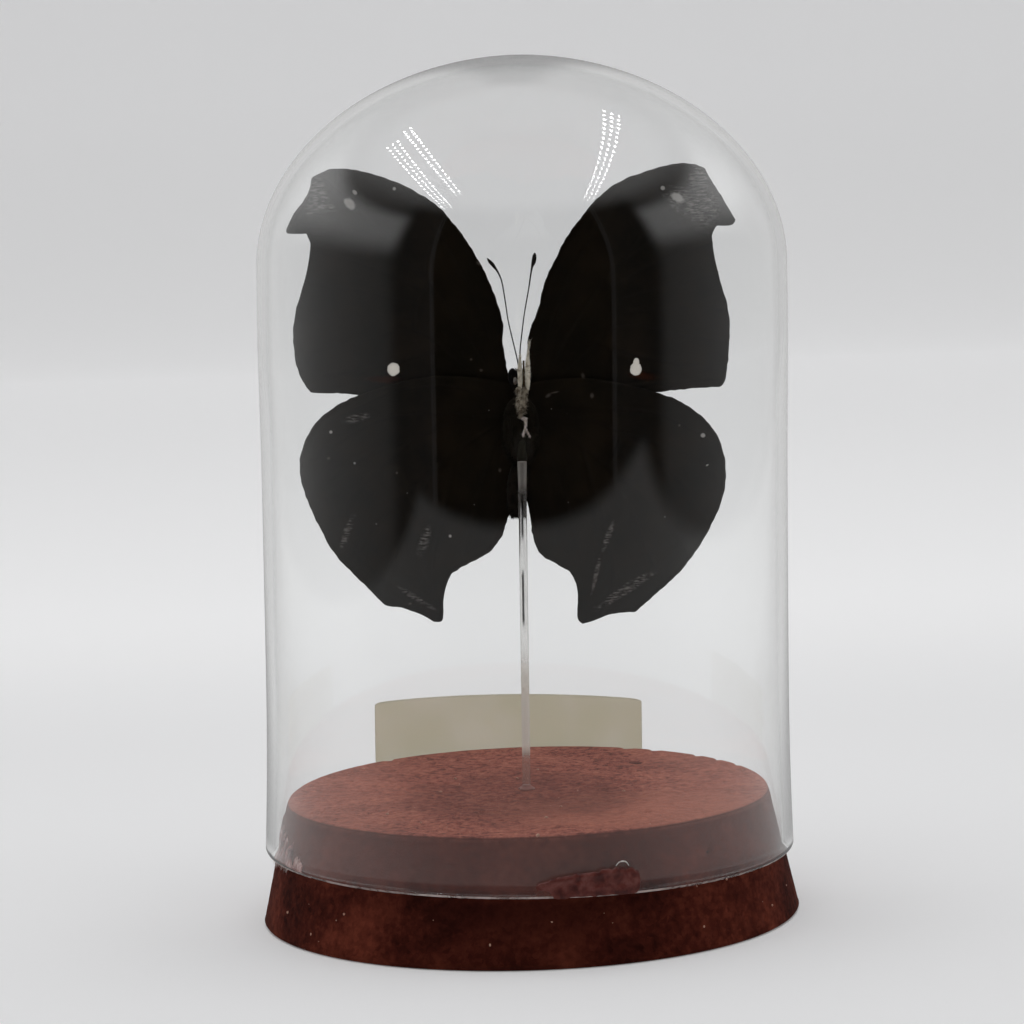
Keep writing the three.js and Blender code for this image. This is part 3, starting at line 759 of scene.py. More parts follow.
# Coats of hair: how many hairs, their length and half width, their sweep and how far they stand out.
coats = {
    "thorax": {"count": 5200, "length": 1.15, "radius": 0.035, "seed": 31, "sweep": (0, 0, -0.9),
               "lift": 0.42},
    "abdomen": {"count": 2600, "length": 0.6, "radius": 0.03, "seed": 41, "sweep": (0, 0, -1.2), "lift": 0.5},
    "tail": {"count": 160, "length": 0.9, "radius": 0.03, "seed": 47, "sweep": (0, 0, -1.6), "lift": 0.5},
    "head": {"count": 900, "length": 0.7, "radius": 0.03, "seed": 51, "sweep": (0, -0.3, 0.5), "lift": 0.6},
    "palp": {"count": 520, "length": 0.55, "radius": 0.026, "sweep": (0, -0.1, 1.1), "lift": 0.3},
    "leg": {"radius": 0.026, "sweep": (0, -0.2, -0.8), "lift": 0.5},
}
palpBrush = {"count": 26, "length": 1.5, "radius": 0.02}


def splineThrough(points, steps):
    # A uniform Catmull-Rom curve through points, its ends doubled, with steps to each span.
    points = np.asarray(points, float)
    padded = np.concatenate([points[:1], points, points[-1:]])
    t = np.linspace(0, 1, steps, endpoint=False)[:, None]
    p0, p1, p2, p3 = (padded[i: len(points) - 1 + i, None] for i in range(4))
    bend1, bend2 = (p2 - p0) * 0.5, (p3 - p1) * 0.5
    cubic, square = 2 * p1 - 2 * p2 + bend1 + bend2, 3 * p2 - 3 * p1 - 2 * bend1 - bend2
    curve = cubic * t ** 3 + square * t ** 2 + bend1 * t + p1
    return np.concatenate([curve.reshape(-1, points.shape[1]), points[-1:]])


def loft(rings, sides, rowsPerRing):
    # Level ellipses along a smooth curve through the rings.
    path = splineThrough(rings, rowsPerRing)
    widths, depths = np.maximum(path[:, 3], 0.02), np.maximum(path[:, 4], 0.02)
    return tubeGrid(path[:, :3], widths, sides, depths)


def hairs(roots, directions, lengths, radius, seed, curl=0.25):
    # Thin three-sided spikes: a small triangle at each root, drawn to a point along a
    # direction that wanders a little, with a bend half way.
    rng = np.random.default_rng(seed)
    directions = directions + rng.normal(0, curl, directions.shape)
    directions /= np.linalg.norm(directions, axis=1, keepdims=True)
    side = np.cross(directions, rng.normal(size=directions.shape))
    side /= np.linalg.norm(side, axis=1, keepdims=True)
    other = np.cross(directions, side)
    lengths = np.asarray(lengths)[:, None] * rng.uniform(0.55, 1.15, (len(roots), 1))
    middle = roots + directions * lengths * 0.55
    tip = roots + directions * lengths + side * lengths * rng.normal(0, curl, (len(roots), 1))
    rings = []
    for centre, size in ((roots, radius), (middle, radius * 0.75)):
        for turn in range(3):
            a = turn * 2 * math.pi / 3
            rings.append(centre + size * (side * math.cos(a) + other * math.sin(a)))
    points = np.stack(rings + [tip], axis=1).reshape(-1, 3)
    base = np.arange(len(roots))[:, None] * 7
    quads = np.concatenate([base + np.array([[i, (i + 1) % 3, 3 + (i + 1) % 3, 3 + i]]) for i in range(3)])
    tips = [base + np.array([[3 + i, 3 + (i + 1) % 3, 6]]) for i in range(3)]
    tris = np.concatenate(tips + [base + np.array([[2, 1, 0]])])
    return points, quads, tris


def hairCoat(grid, count, length, radius, seed, sweep, lift):
    # Hair roots picked at random over a body grid, standing out along the surface and swept.
    rng = np.random.default_rng(seed)
    rows, sides = grid.shape[:2]
    row, side = rng.integers(1, rows - 1, count), rng.integers(0, sides, count)
    roots = grid[row, side] + rng.normal(0, 0.05, (count, 3))
    centre = grid.mean(axis=1)[row]
    out = roots - centre
    out /= np.linalg.norm(out, axis=1, keepdims=True) + 1e-9
    directions = out * lift + np.asarray(sweep, float)
    return hairs(roots - out * 0.05, directions, np.full(count, length), radius, seed + 1)


def hairNoise(tree, place, patchScale, spread):
    # Soft patches and finer streaks from hair to hair, as the share of the light shade.
    patch = noise(tree, place, patchScale, 3.0)
    fine = noise(tree, place, 6.0, 2.0)
    both = calc(tree, "ADD", calc(tree, "MULTIPLY", patch, 0.7), calc(tree, "MULTIPLY", fine, 0.3))
    return between(tree, both, *spread), patch, fine


def hairShader(tree, colour, fine, sheen):
    return principled(tree, {
        "Base Color": colour, "Roughness": 0.8, "Specular IOR Level": 0.1,
        "Sheen Weight": sheen, "Normal": bumped(tree, fine, 0.4, 0.0001),
    })


def hairMaterial(name, dark, light, patchSize, sheen=0.2, spread=(0.36, 0.62)):
    # Two shades in soft patches; a narrow spread parts them more sharply.
    material, tree, place = newMaterial(name)
    share, _, fine = hairNoise(tree, place, 1 / patchSize, spread)
    finishMaterial(tree, hairShader(tree, tint(tree, share, dark, light), fine, sheen))
    return material


darkHair = hairMaterial("darkBodyHair", body["dark"], body["brown"], 1.6, 0.02)
chestHair = hairMaterial("chestHair", body["brown"], body["chest"], 2.2, 0.02)
creamScales = hairMaterial("creamScales", body["tan"], body["cream"], 0.8, 0.3, (0.34, 0.52))
legScales = hairMaterial("mottledLegScales", body["shade"], body["legCream"], 0.8, 0.2, (0.40, 0.58))
whiteScales = hairMaterial("whiteLegScales", body["tan"], body["white"], 0.5, 0.3)


def thoraxMaterial():
    # Brown hair in soft patches, greyed in an oval low on the chest that dies away outwards.
    material, tree, place = newMaterial("thoraxHair")
    share, patch, fine = hairNoise(tree, place, 0.45, (0.36, 0.62))
    x, y, height = node(tree, "SeparateXYZ", {0: place}).outputs
    aside = calc(tree, "DIVIDE", calc(tree, "SUBTRACT", x, body["hazeMiddle"][0]), body["hazeSize"][0])
    above = calc(tree, "DIVIDE", calc(tree, "SUBTRACT", height, body["hazeMiddle"][1]), body["hazeSize"][1])
    reach = calc(tree, "ADD", calc(tree, "MULTIPLY", aside, aside), calc(tree, "MULTIPLY", above, above))
    reach = calc(tree, "ADD", reach, calc(tree, "MULTIPLY", calc(tree, "SUBTRACT", patch, 0.5), 1.2))
    onFront = between(tree, y, 2.5, 4.5, 1.0, 0.0)
    haze = calc(tree, "MULTIPLY", between(tree, reach, 0.0, 1.1, 0.9, 0.0), onFront)
    colour = tint(tree, haze, tint(tree, share, body["back"], body["warm"]), body["grey"])
    finishMaterial(tree, hairShader(tree, colour, fine, 0.02))
    return material


def eyeMaterial():
    material, tree, place = newMaterial("darkEye")
    facets = node(tree, "TexVoronoi", {"Scale": 9.0, "Vector": place}).outputs["Distance"]
    shader = principled(tree, {
        "Base Color": tint(tree, facets, body["eyeDark"], body["eyeLight"]), "Roughness": 0.5,
        "Specular IOR Level": 0.08, "Normal": bumped(tree, facets, 0.25, 0.00004),
    })
    finishMaterial(tree, shader)
    return material


def inBody(skin):
    # Moves a skin made about the thorax's middle to its place in the leaning frame.
    points, quads, tris = skin
    return leaned(points + insect), quads, tris


def makeThorax():
    # The lofted trunk, roughened, under a coat of hair.
    grid = loft(bodyRings["thorax"], body["sides"], body["rowsPerRing"])
    grid = grid * (1 + 0.03 * wobble(grid, 1.3))[..., None]
    skin = joined([closedRows(grid), hairCoat(grid, **coats["thorax"])])
    addPiece("thorax", inBody(skin), [thoraxMaterial()], ["thorax"])


def makeAbdomen():
    # Seven belts swell the loft a little, and short bristles ring the blunt tip.
    grid = loft(bodyRings["abdomen"], body["sides"], 2 * body["rowsPerRing"])
    middle = grid.mean(axis=1, keepdims=True)
    belts = 1 + 0.05 * np.abs(np.sin((grid[..., 2:3] + 16.9) * math.pi / 1.45))
    grid = middle + (grid - middle) * belts
    tip = grid[2:14]
    bristles = [hairCoat(grid, **coats["abdomen"]), hairCoat(tip, **coats["tail"])]
    skin = inBody(joined([closedRows(grid), *bristles]))
    addPiece("abdomen", skin, [darkHair], ["abdomen"])


def makeHead():
    # A small lofted head under short hair, with two round eyes and a scaly cheek.
    skull = loft(bodyRings["head"], body["sides"], body["rowsPerRing"])
    coat = hairCoat(skull, **coats["head"])
    eyes =[ball(*headBalls[side]) for side in ("eyeLeft", "eyeRight")]
    cheek = ball(*headBalls["cheek"])
    skins = [closedRows(skull), coat]
    hairy = sum(len(s[1]) for s in skins)
    seeing = hairy + sum(len(s[1]) for s in eyes)
    skin = joined(skins + eyes + [cheek])
    face = np.arange(len(skin[1]))
    slots = np.where(face < hairy, 0, np.where(face < seeing, 1, 2))
    greyScales = hairMaterial("cheekScales", body["shade"], body["cheek"], 0.5)
    addPiece("head", inBody(skin), [darkHair, eyeMaterial(), greyScales], ["head"], slots)


def makeTongue():
    # A round rod bent along half an oval between the palps.
    turn = np.linspace(0, 2 * math.pi, 60)[15:46][::-1]
    y = tongueCoil["y"] + tongueCoil["bulge"] * np.cos(turn)
    z = tongueCoil["height"] + tongueCoil["reach"] * np.sin(turn)
    path = np.stack([np.full(len(turn), tongueCoil["x"]), y, z], axis=-1)
    skin = closedRows(tubeGrid(path, np.full(len(turn), tongueCoil["radius"]), 12))
    brown = hairMaterial("brownTongue", body["tongueDark"], body["tongueLight"], 0.5)
    addPiece("tongue", inBody(skin), [brown])


def makePalp(name, label, seed):
    # A scaly loft with a brush of upright hairs at its end.
    grid = loft(bodyRings[name], 20, 12)
    coat = hairCoat(grid, seed=seed, **coats["palp"])
    count = palpBrush["count"]
    roots = np.repeat(grid[-3].mean(axis=0)[None], count, 0)
    upright, lengths = np.tile([0.0, 0, 1.0], (count, 1)), np.full(count, palpBrush["length"])
    brush = hairs(roots, upright, lengths, palpBrush["radius"], seed + 3)
    addPiece(label, inBody(joined([closedRows(grid), coat, brush])), [creamScales], [name])


def makeAntenna(name, label):
    # A thin shaft with faint joints that thickens into a club.
    grid = loft(bodyRings[name], 16, 30)
    middle = grid.mean(axis=1, keepdims=True)
    joints = 1 + 0.07 * np.sin(grid[..., 2:3] * 2 * math.pi / 0.42)
    skin = closedRows(middle + (grid - middle) * joints)
    addPiece(label, inBody(skin), [antennaMaterial], [name])


def makeLeg(name, label, seed, material, hairLength, count, extra=()):
    # Hairy lofts with uneven skins; extra names further lofts that branch off the first.
    skins = []
    for number, ringName in enumerate((name, *extra)):
        grid = loft(bodyRings[ringName], 18, 12)
        middle = grid.mean(axis=1, keepdims=True)
        grid = middle + (grid - middle) * (1 + 0.3 * wobble(grid + seed, 0.6))[..., None]
        coat = hairCoat(grid, count=count, length=hairLength, seed=seed + number, **coats["leg"])
        skins += [closedRows(grid), coat]
    addPiece(label, inBody(joined(skins)), [material], [name])


antennaMaterial = hairMaterial("antennaScales", body["antennaDark"], body["antennaLight"], 0.4, 0.0)
makeThorax()
makeAbdomen()
makeHead()
makeTongue()
makePalp("palp_left", "palpLeft", 61)
makePalp("palp_right", "palpRight", 71)
makeAntenna("antenna_left", "antennaLeft")
makeAntenna("antenna_right", "antennaRight")
makeLeg("foreleg_left", "forelegLeft", 81, legScales, 0.75, 640)
makeLeg("foreleg_right", "forelegRight", 91, legScales, 0.75, 560)
makeLeg("midleg_left", "midlegLeft", 101, chestHair, 0.4, 160)
makeLeg("midleg_right", "midlegRight", 111, whiteScales, 0.4, 160, ["midleg_fork"])


def makeTopGlue():
    # A bead that fills the gap behind the rod's end and laps over it on to the chest.
    grid = loft(bodyRings["rod_top_glue"], 24, 8)
    grid = grid + (0.07 * wobble(grid, 0.9))[..., None] * np.array([1, 1, 0])
    bead = glueMaterial("topGlue", glue["top"], 0.0)
    addPiece("rodTopGlue", inBody(closedRows(grid)), [bead], ["rod_top_glue"])


makeTopGlue()

# Butterfly: wings.
# Leading edges run from the root round the tip, trailing edges from the root along the hind
# margin to the same end. Points are the distance out from the body and the height, in stretches
# that meet at corners.
wings = {
    "forewing_left": {
        "side": -1, "depth": 0.9,
        "leading": [
            [(0.9, 4.5), (0.9, 8.0), (2.0, 9.9), (2.5, 11.4), (3.2, 16.4), (3.2, 20.2), (5.1, 26.5),
             (9.0, 34.4), (15.1, 42.4), (22.8, 47.1), (30, 49.5), (35.5, 50.0), (39.3, 48.4)],
            [(39.3, 48.4), (40.3, 45.0), (42.9, 41.6), (44.5, 38.6)]],
        "trailing": [
            [(0.9, 4.5), (18, 5.2), (33.4, 6.9), (40.3, 7.2)],
            [(40.3, 7.2), (42.3, 10.4), (43.4, 15.5), (43.2, 21.8), (40.8, 29.1), (39.4, 34.0),
             (40.5, 37.6)],
            [(40.5, 37.6), (44.2, 37.7), (44.5, 38.6)]],
        "clearSpots": [(24.2, 11.5, 1.18, 1.25, 0)],
        "paleSpots": [(32.0, 43.2, 0.8, 1.25, -40), (31.0, 45.4, 0.35, 0.5, -40), (23.4, 46.0, 0.3, 0.3, 0)],
        "faintSpots": [(9.3, 13.2, 0.22, 0.2, 0), (7.4, 11.1, 0.28, 0.24, 0), (7.5, 31.5, 0.5, 0.35, 30)],
        "rubsAndCreaseHighlights": [(38.2, 45.0, 1.7, 2.8, 0), (37.6, 42.6, 2.6, 0.9, 5), (39.6, 41.6, 0.8, 0.3, 10)],
        "glows": [(26.2, 9.6, 3.2, 0.75, 3)],
        "folds": [([(39.0, 47.3), (41.1, 43.0), (43.4, 38.6)], 0.45, 0.45)],
    },
    "forewing_right": {
        "side": 1, "depth": 0.9,
        "leading": [
            [(1.4, 4.5), (1.5, 9.0), (1.9, 13.2), (1.7, 16.3), (2.4, 19.0), (3.9, 22.6), (5.2, 27.4),
             (7.2, 31.6), (10.4, 37.2), (17.4, 45.0), (25, 48.4), (32.5, 50.0), (37.0, 49.1)],
            [(37.0, 49.1), (38.0, 47.2), (40.3, 43.5), (43.2, 38.7)]],
        "trailing": [
            [(1.4, 4.5), (18, 5.2), (33.3, 6.4), (39.8, 6.6)],
            [(39.8, 6.6), (40.9, 8.1), (41.7, 15.5), (41.5, 21.6), (39.8, 27.4), (38.1, 34.2), (39.2, 37.6)],
            [(39.2, 37.6), (42.3, 37.7), (43.2, 38.7)]],
        "clearSpots": [(22.9, 10.5, 1.15, 1.25, 0), (23.0, 11.7, 0.62, 0.95, 0)],
        "paleSpots": [(31.5, 43.3, 1.3, 0.75, -30), (28.6, 45.2, 0.4, 0.4, 0)],
        "faintSpots": [(12.5, 9.5, 0.3, 0.5, 15)],
        "rubsAndCreaseHighlights": [(36.0, 46.8, 1.9, 2.1, 0), (36.6, 41.5, 2.6, 3.6, 0), (33.0, 42.5, 3.6, 2.0, -30)],
        "glows": [(24.6, 9.1, 2.6, 0.8, -8)],
        "folds": [([(35.8, 48.6), (38.1, 41.5), (39.4, 37.9)], 0.35, 0.5)],
    },
    "hindwing_left": {
        "side": -1, "depth": 0.0,
        "leading": [
            [(0.9, 5.5), (1.4, 8.6), (11.4, 10.0), (19.1, 9.9), (30.2, 7.0), (38.1, 2.7), (41.9, -3.0),
             (42.6, -8.0), (40.7, -14.6), (35.9, -23.9), (29.3, -30.9), (26.3, -34.0)],
            [(26.3, -34.0), (23.2, -34.4), (19.6, -35.7), (17.2, -37.1)]],
        "trailing": [
            [(0.9, 5.5), (1.4, -5.0)],
            [(1.4, -5.0), (1.7, -12.0), (2.3, -16.6)],
            [(2.3, -16.6), (2.9, -17.8), (4.1, -21.1), (7.0, -24.2), (11.6, -26.5), (14.1, -28.6),
             (15.2, -32.5), (15.5, -36.7), (17.2, -37.1)]],
        "clearSpots": [],
        "paleSpots": [(36.4, -0.3, 0.3, 0.3, 0), (13.8, -20.6, 0.26, 0.26, 0), (31.9, -6.3, 0.2, 0.2, 0)],
        "faintSpots": [(36.9, -5.3, 0.3, 0.25, 0), (4.1, -8.0, 0.25, 0.35, 0), (23.8, -8.2, 0.2, 0.2, 0),
                       (21.7, -33.5, 0.3, 0.2, 0)],
        # The streaks along the folds are painted highlights of the creases.
        "rubsAndCreaseHighlights": [(31.4, 2.3, 2.2, 0.7, -12), (18.8, -21.5, 0.8, 2.4, 18), (33.6, -19.4, 0.6, 3.0, 22),
                   (20.5, -32.4, 3.6, 0.5, 32)],
        "glows": [],
        "folds": [([(24.1, -8.7), (20.5, -16.5), (18.6, -22.3), (17.4, -28.1), (15.9, -33.0)], 0.9, 1.5),
                  ([(36.5, -13.0), (34.8, -17.3), (33.9, -20.2), (30.5, -24.5)], 0.45, 1.3),
                  ([(30.5, -26.2), (28.3, -28.0), (22.6, -31.4), (16.0, -35.3)], 0.6, 1.4)],
    },
    "hindwing_right": {
        "side": 1, "depth": 0.0,
        "leading": [
            [(1.3, 5.5), (1.8, 8.4), (7.8, 9.3), (15.6, 8.8), (26.3, 6.2), (33.2, 3.0), (38.3, -1.8),
             (40.5, -8.8), (39.2, -16.5), (33.1, -26.6), (27.1, -32.3), (22.1, -36.3)],
            [(22.1, -36.3), (17.2, -36.6), (13.7, -37.7), (11.6, -38.2)]],
        "trailing": [
            [(1.3, 5.5), (1.0, -5.0)],
            [(1.0, -5.0), (0.8, -10.0), (1.0, -13.7)],
            [(1.0, -13.7), (1.5, -16.8), (1.9, -19.7), (2.7, -23.0), (4.2, -24.9), (9.3, -28.2),
             (10.7, -32.0), (10.6, -36.8), (11.6, -38.2)]],
        "clearSpots": [],
        "paleSpots": [(35.9, -2.6, 0.45, 0.4, 0), (36.7, -8.4, 0.3, 0.12, 20)],
        "faintSpots": [(14.0, 5.8, 0.3, 0.45, 0), (5.45, 6.1, 0.5, 0.28, 30), (6.7, 6.65, 0.75, 0.14, 10),
                       (31.2, -0.5, 0.2, 0.2, 0)],
        # The streaks along the folds are painted highlights of the creases.
        "rubsAndCreaseHighlights": [(16.6, -21.5, 0.5, 2.6, -22), (14.2, -28.6, 0.4, 3.2, -14), (20.2, -31.8, 5.6, 0.8, 30)],
        "glows": [],
        "folds": [([(20.2, -14.6), (18.2, -19.4), (15.8, -23.2), (14.6, -28.0), (13.1, -31.8)], 1.0, 1.5),
                  ([(13.0, -36.4), (17.4, -33.5), (23.0, -30.2), (30.5, -23.5)], 0.7, 1.6),
                  ([(33.0, -9.0), (31.0, -15.0), (26.0, -21.0)], 0.5, 2.4)],
    },
}
wing = {
    "leftSweep": 1.0, "rightSweep": 11.0,     # degrees raised to the back
    "rows": 190, "across": 110,
    "thickness": 0.12, "veinHeight": 0.09, "veinWidth": 0.3,
    "ripple": 0.16, "nick": 0.12,
    "under": (0.0090, 0.0064, 0.0028), "underWarm": (0.022, 0.014, 0.007), "veinTone": (0.015, 0.011, 0.007),
    "rubAndHighlightTone": (0.42, 0.385, 0.36), "pale": (0.80, 0.77, 0.73), "faint": (0.11, 0.090, 0.076),
    "through": (0.030, 0.016, 0.009), "glow": (0.36, 0.12, 0.035), "groove": (0.004, 0.003, 0.002),
    "upper": (0.016, 0.011, 0.010), "upperWarm": (0.030, 0.020, 0.016), "upperBand": (0.16, 0.062, 0.020),
    "upperSheen": (0.020, 0.026, 0.060),
    "windowFilm": (0.95, 0.92, 0.86), "windowFace": (0.9, 0.87, 0.8), "windowClear": (1, 0.98, 0.94),
}

# Veins from the root, as smooth lines of distance out and height.
veins = {
    "forewing": [
        [(3.6, 8), (6.5, 20), (13, 34), (21, 45)],
        [(3.6, 7), (10, 18), (17, 28), (27, 38.5), (37, 48.5)],
        [(17, 28), (30, 38), (42.0, 42.0)],
        [(18, 26.5), (29, 31.5), (39.4, 34.6)],
        [(19.4, 24), (30, 26.6), (40.6, 28.6)],
        [(20, 21.4), (31, 22), (42.6, 21.6)],
        [(3.6, 6.2), (12, 13), (20, 19), (31, 17), (42.4, 15.2)],
        [(15, 15.2), (28, 12), (41.6, 10.2)],
        [(3.6, 5.6), (20, 7.2), (39.6, 7.8)],
        [(17, 28), (19.6, 24), (20, 19)],
    ],
    "hindwing": [
        [(4.2, 4.5), (12, 8), (24, 7.4), (37, 1.5)],
        [(4.2, 3.5), (14, 3), (27, 2.0), (40.4, -5.5)],
        [(4.2, 2.5), (14, 1), (20, -1.5), (31, -5.5), (40.6, -12)],
        [(20, -1.5), (29, -9), (37.6, -18.8)],
        [(4.2, 1.0), (12, -4), (17, -8), (26, -16), (33, -25.4)],
        [(17, -8), (22, -18), (27.4, -31.2)],
        [(12, -4), (15, -16), (17.6, -28), (15.4, -36)],
        [(4.4, -1.0), (8, -12), (11.6, -25.6)],
        [(4.2, -3), (5.4, -14), (6.2, -22.8)],
        [(20, -1.5), (18.6, -5.2), (17, -8)],
    ],
}


def alongCurve(stretches, count):
    # Points at equal steps of length along the smooth stretches, joined end to end.
    dense = np.concatenate([splineThrough(s, 24) for s in stretches])
    step = np.linalg.norm(np.diff(dense, axis=0), axis=1)
    keep = np.concatenate([[True], step > 1e-6])
    dense = dense[keep]
    run = np.concatenate([[0], np.cumsum(np.linalg.norm(np.diff(dense, axis=0), axis=1))])
    at = np.linspace(0, run[-1], count)
    return np.stack([np.interp(at, run, dense[:, i]) for i in range(2)], axis=-1)


def distanceTo(line, plan):
    # The distance of each plan point to a smooth line, the least over its short spans.
    points = splineThrough(line, 6)
    best = np.full(plan.shape[:-1], 1e9)
    for a, b in zip(points[:-1], points[1:]):
        span = b - a
        t = np.clip(((plan - a) @ span) / (span @ span + 1e-12), 0, 1)
        best = np.minimum(best, np.linalg.norm(plan - a - t[..., None] * span, axis=-1))
    return best


def makeWing(name, values):
    # A sheet ruled between the leading and trailing edges at equal shares of their lengths. Its
    # middle is pushed back and forth by folds and ripple, and its thickness, which is nothing
    # at the margin, grows over the veins.
    isFore = name.startswith("fore")
    rows, across = wing["rows"], wing["across"]
    share = np.linspace(0, 1, across)
    leading, trailing = alongCurve(values["leading"], rows), alongCurve(values["trailing"], rows)
    plan = leading[:, None] * (1 - share[:, None]) + trailing[:, None] * share[:, None]
    spot = np.concatenate([plan, np.zeros(plan.shape[:-1] + (1,))], axis=-1)
    ends = np.sin(np.linspace(0, math.pi, rows))[:, None]
    margin = np.minimum(share, 1 - share)[None] * np.linalg.norm(leading - trailing, axis=-1)[:, None]
    nicks = wing["nick"] * wobble(spot, 0.9) * np.exp(-margin / 0.6) * smoothstep(0, 0.3, ends)
    out = plan - plan[rows // 2, across // 2]
    plan = plan + out / np.linalg.norm(out, axis=-1, keepdims=True).clip(1) * nicks[..., None]
    vein = np.zeros(plan.shape[:-1])
    for line in veins["forewing" if isFore else "hindwing"]:
        vein = np.maximum(vein, np.exp(-((distanceTo(line, plan) / wing["veinWidth"]) ** 2)))
    push = wing["ripple"] * wobble(spot + 3.1, 9.0) + 0.05 * wobble(spot, 2.4)
    fading = smoothstep(0, 3, margin + 1.2)
    for line, height, width in values["folds"]:
        push = push - height * np.exp(-((distanceTo(line, plan) / width) ** 2)) * fading
    inner = smoothstep(3, 16, plan[..., 0])
    push = push * inner
    # Panels between veins sag a little towards the back.
    push = push + 0.12 * (1 - vein) * inner * smoothstep(0, 3, margin)
    half = 0.5 * (wing["thickness"] + wing["veinHeight"] * vein) * smoothstep(-0.05, 0.5, margin)
    front, back = push - half, push + half
    ringPlan, ringDepth, ringVein, ringMargin = (
        np.concatenate([onFront, onBack[:, -2:0:-1]], axis=1)
        for onFront, onBack in ((plan, plan), (front, back), (vein, vein), (margin, margin))
    )
    angle = math.radians(wing["rightSweep"] if values["side"] > 0 else -wing["leftSweep"])
    flatX = values["side"] * ringPlan[..., 0]
    flatY = values["depth"] + ringDepth
    grid = np.stack([
        flatX * math.cos(angle) - flatY * math.sin(angle),
        flatX * math.sin(angle) + flatY * math.cos(angle), ringPlan[..., 1],
    ], axis=-1)
    skin = closedRows(leaned(grid + insect))
    ends = np.stack([ringPlan[0].mean(0), ringPlan[-1].mean(0)])
    uv = np.concatenate([ringPlan.reshape(-1, 2), ends]) / 100 + 0.5
    upperSide = np.tile(np.arange(ringPlan.shape[1]) >= across - 1, rows - 1).astype(np.int32)
    attributes = {
        "vein": np.concatenate([ringVein.ravel(), [0, 0]]),
        "margin": np.concatenate([ringMargin.ravel(), [0, 0]]),
    }
    kind = "foreWing" if isFore else "hindWing"
    label = kind + ("Right" if values["side"] > 0 else "Left")
    materials = [wingMaterial(label + "Under", values, False), wingMaterial(label + "Upper", values, True)]
    addPiece(label, skin, materials, [name], upperSide, uv, attributes)


def ovalMask(tree, plan, oval, ragged, soft=0.12):
    # 1 inside an oval of the plan (middle, half sizes, turn in degrees), 0 outside; its edge
    # is moved by a noise value.
    u, w, wide, high, turn = oval
    moved = node(tree, "VectorMath", {0: plan, 1: (u, w, 0)}, operation="SUBTRACT").outputs[0]
    aim = {"Vector": moved, "Angle": math.radians(-turn)}
    turned = node(tree, "VectorRotate", aim, rotation_type="Z_AXIS").outputs[0]
    shares = (1 / wide, 1 / high, 0)
    scaled = node(tree, "VectorMath", {0: turned, 1: shares}, operation="MULTIPLY").outputs[0]
    reach = node(tree, "VectorMath", {0: scaled}, operation="LENGTH").outputs["Value"]
    reach = calc(tree, "ADD", reach, ragged)
    return between(tree, reach, 1 - soft, 1 + soft, 1.0, 0.0)


def anyOval(tree, plan, ovals, ragged, soft):
    # The greatest of the ovals' masks.
    covered = 0.0
    for oval in ovals:
        covered = calc(tree, "MAXIMUM", covered, ovalMask(tree, plan, oval, ragged, soft))
    return covered


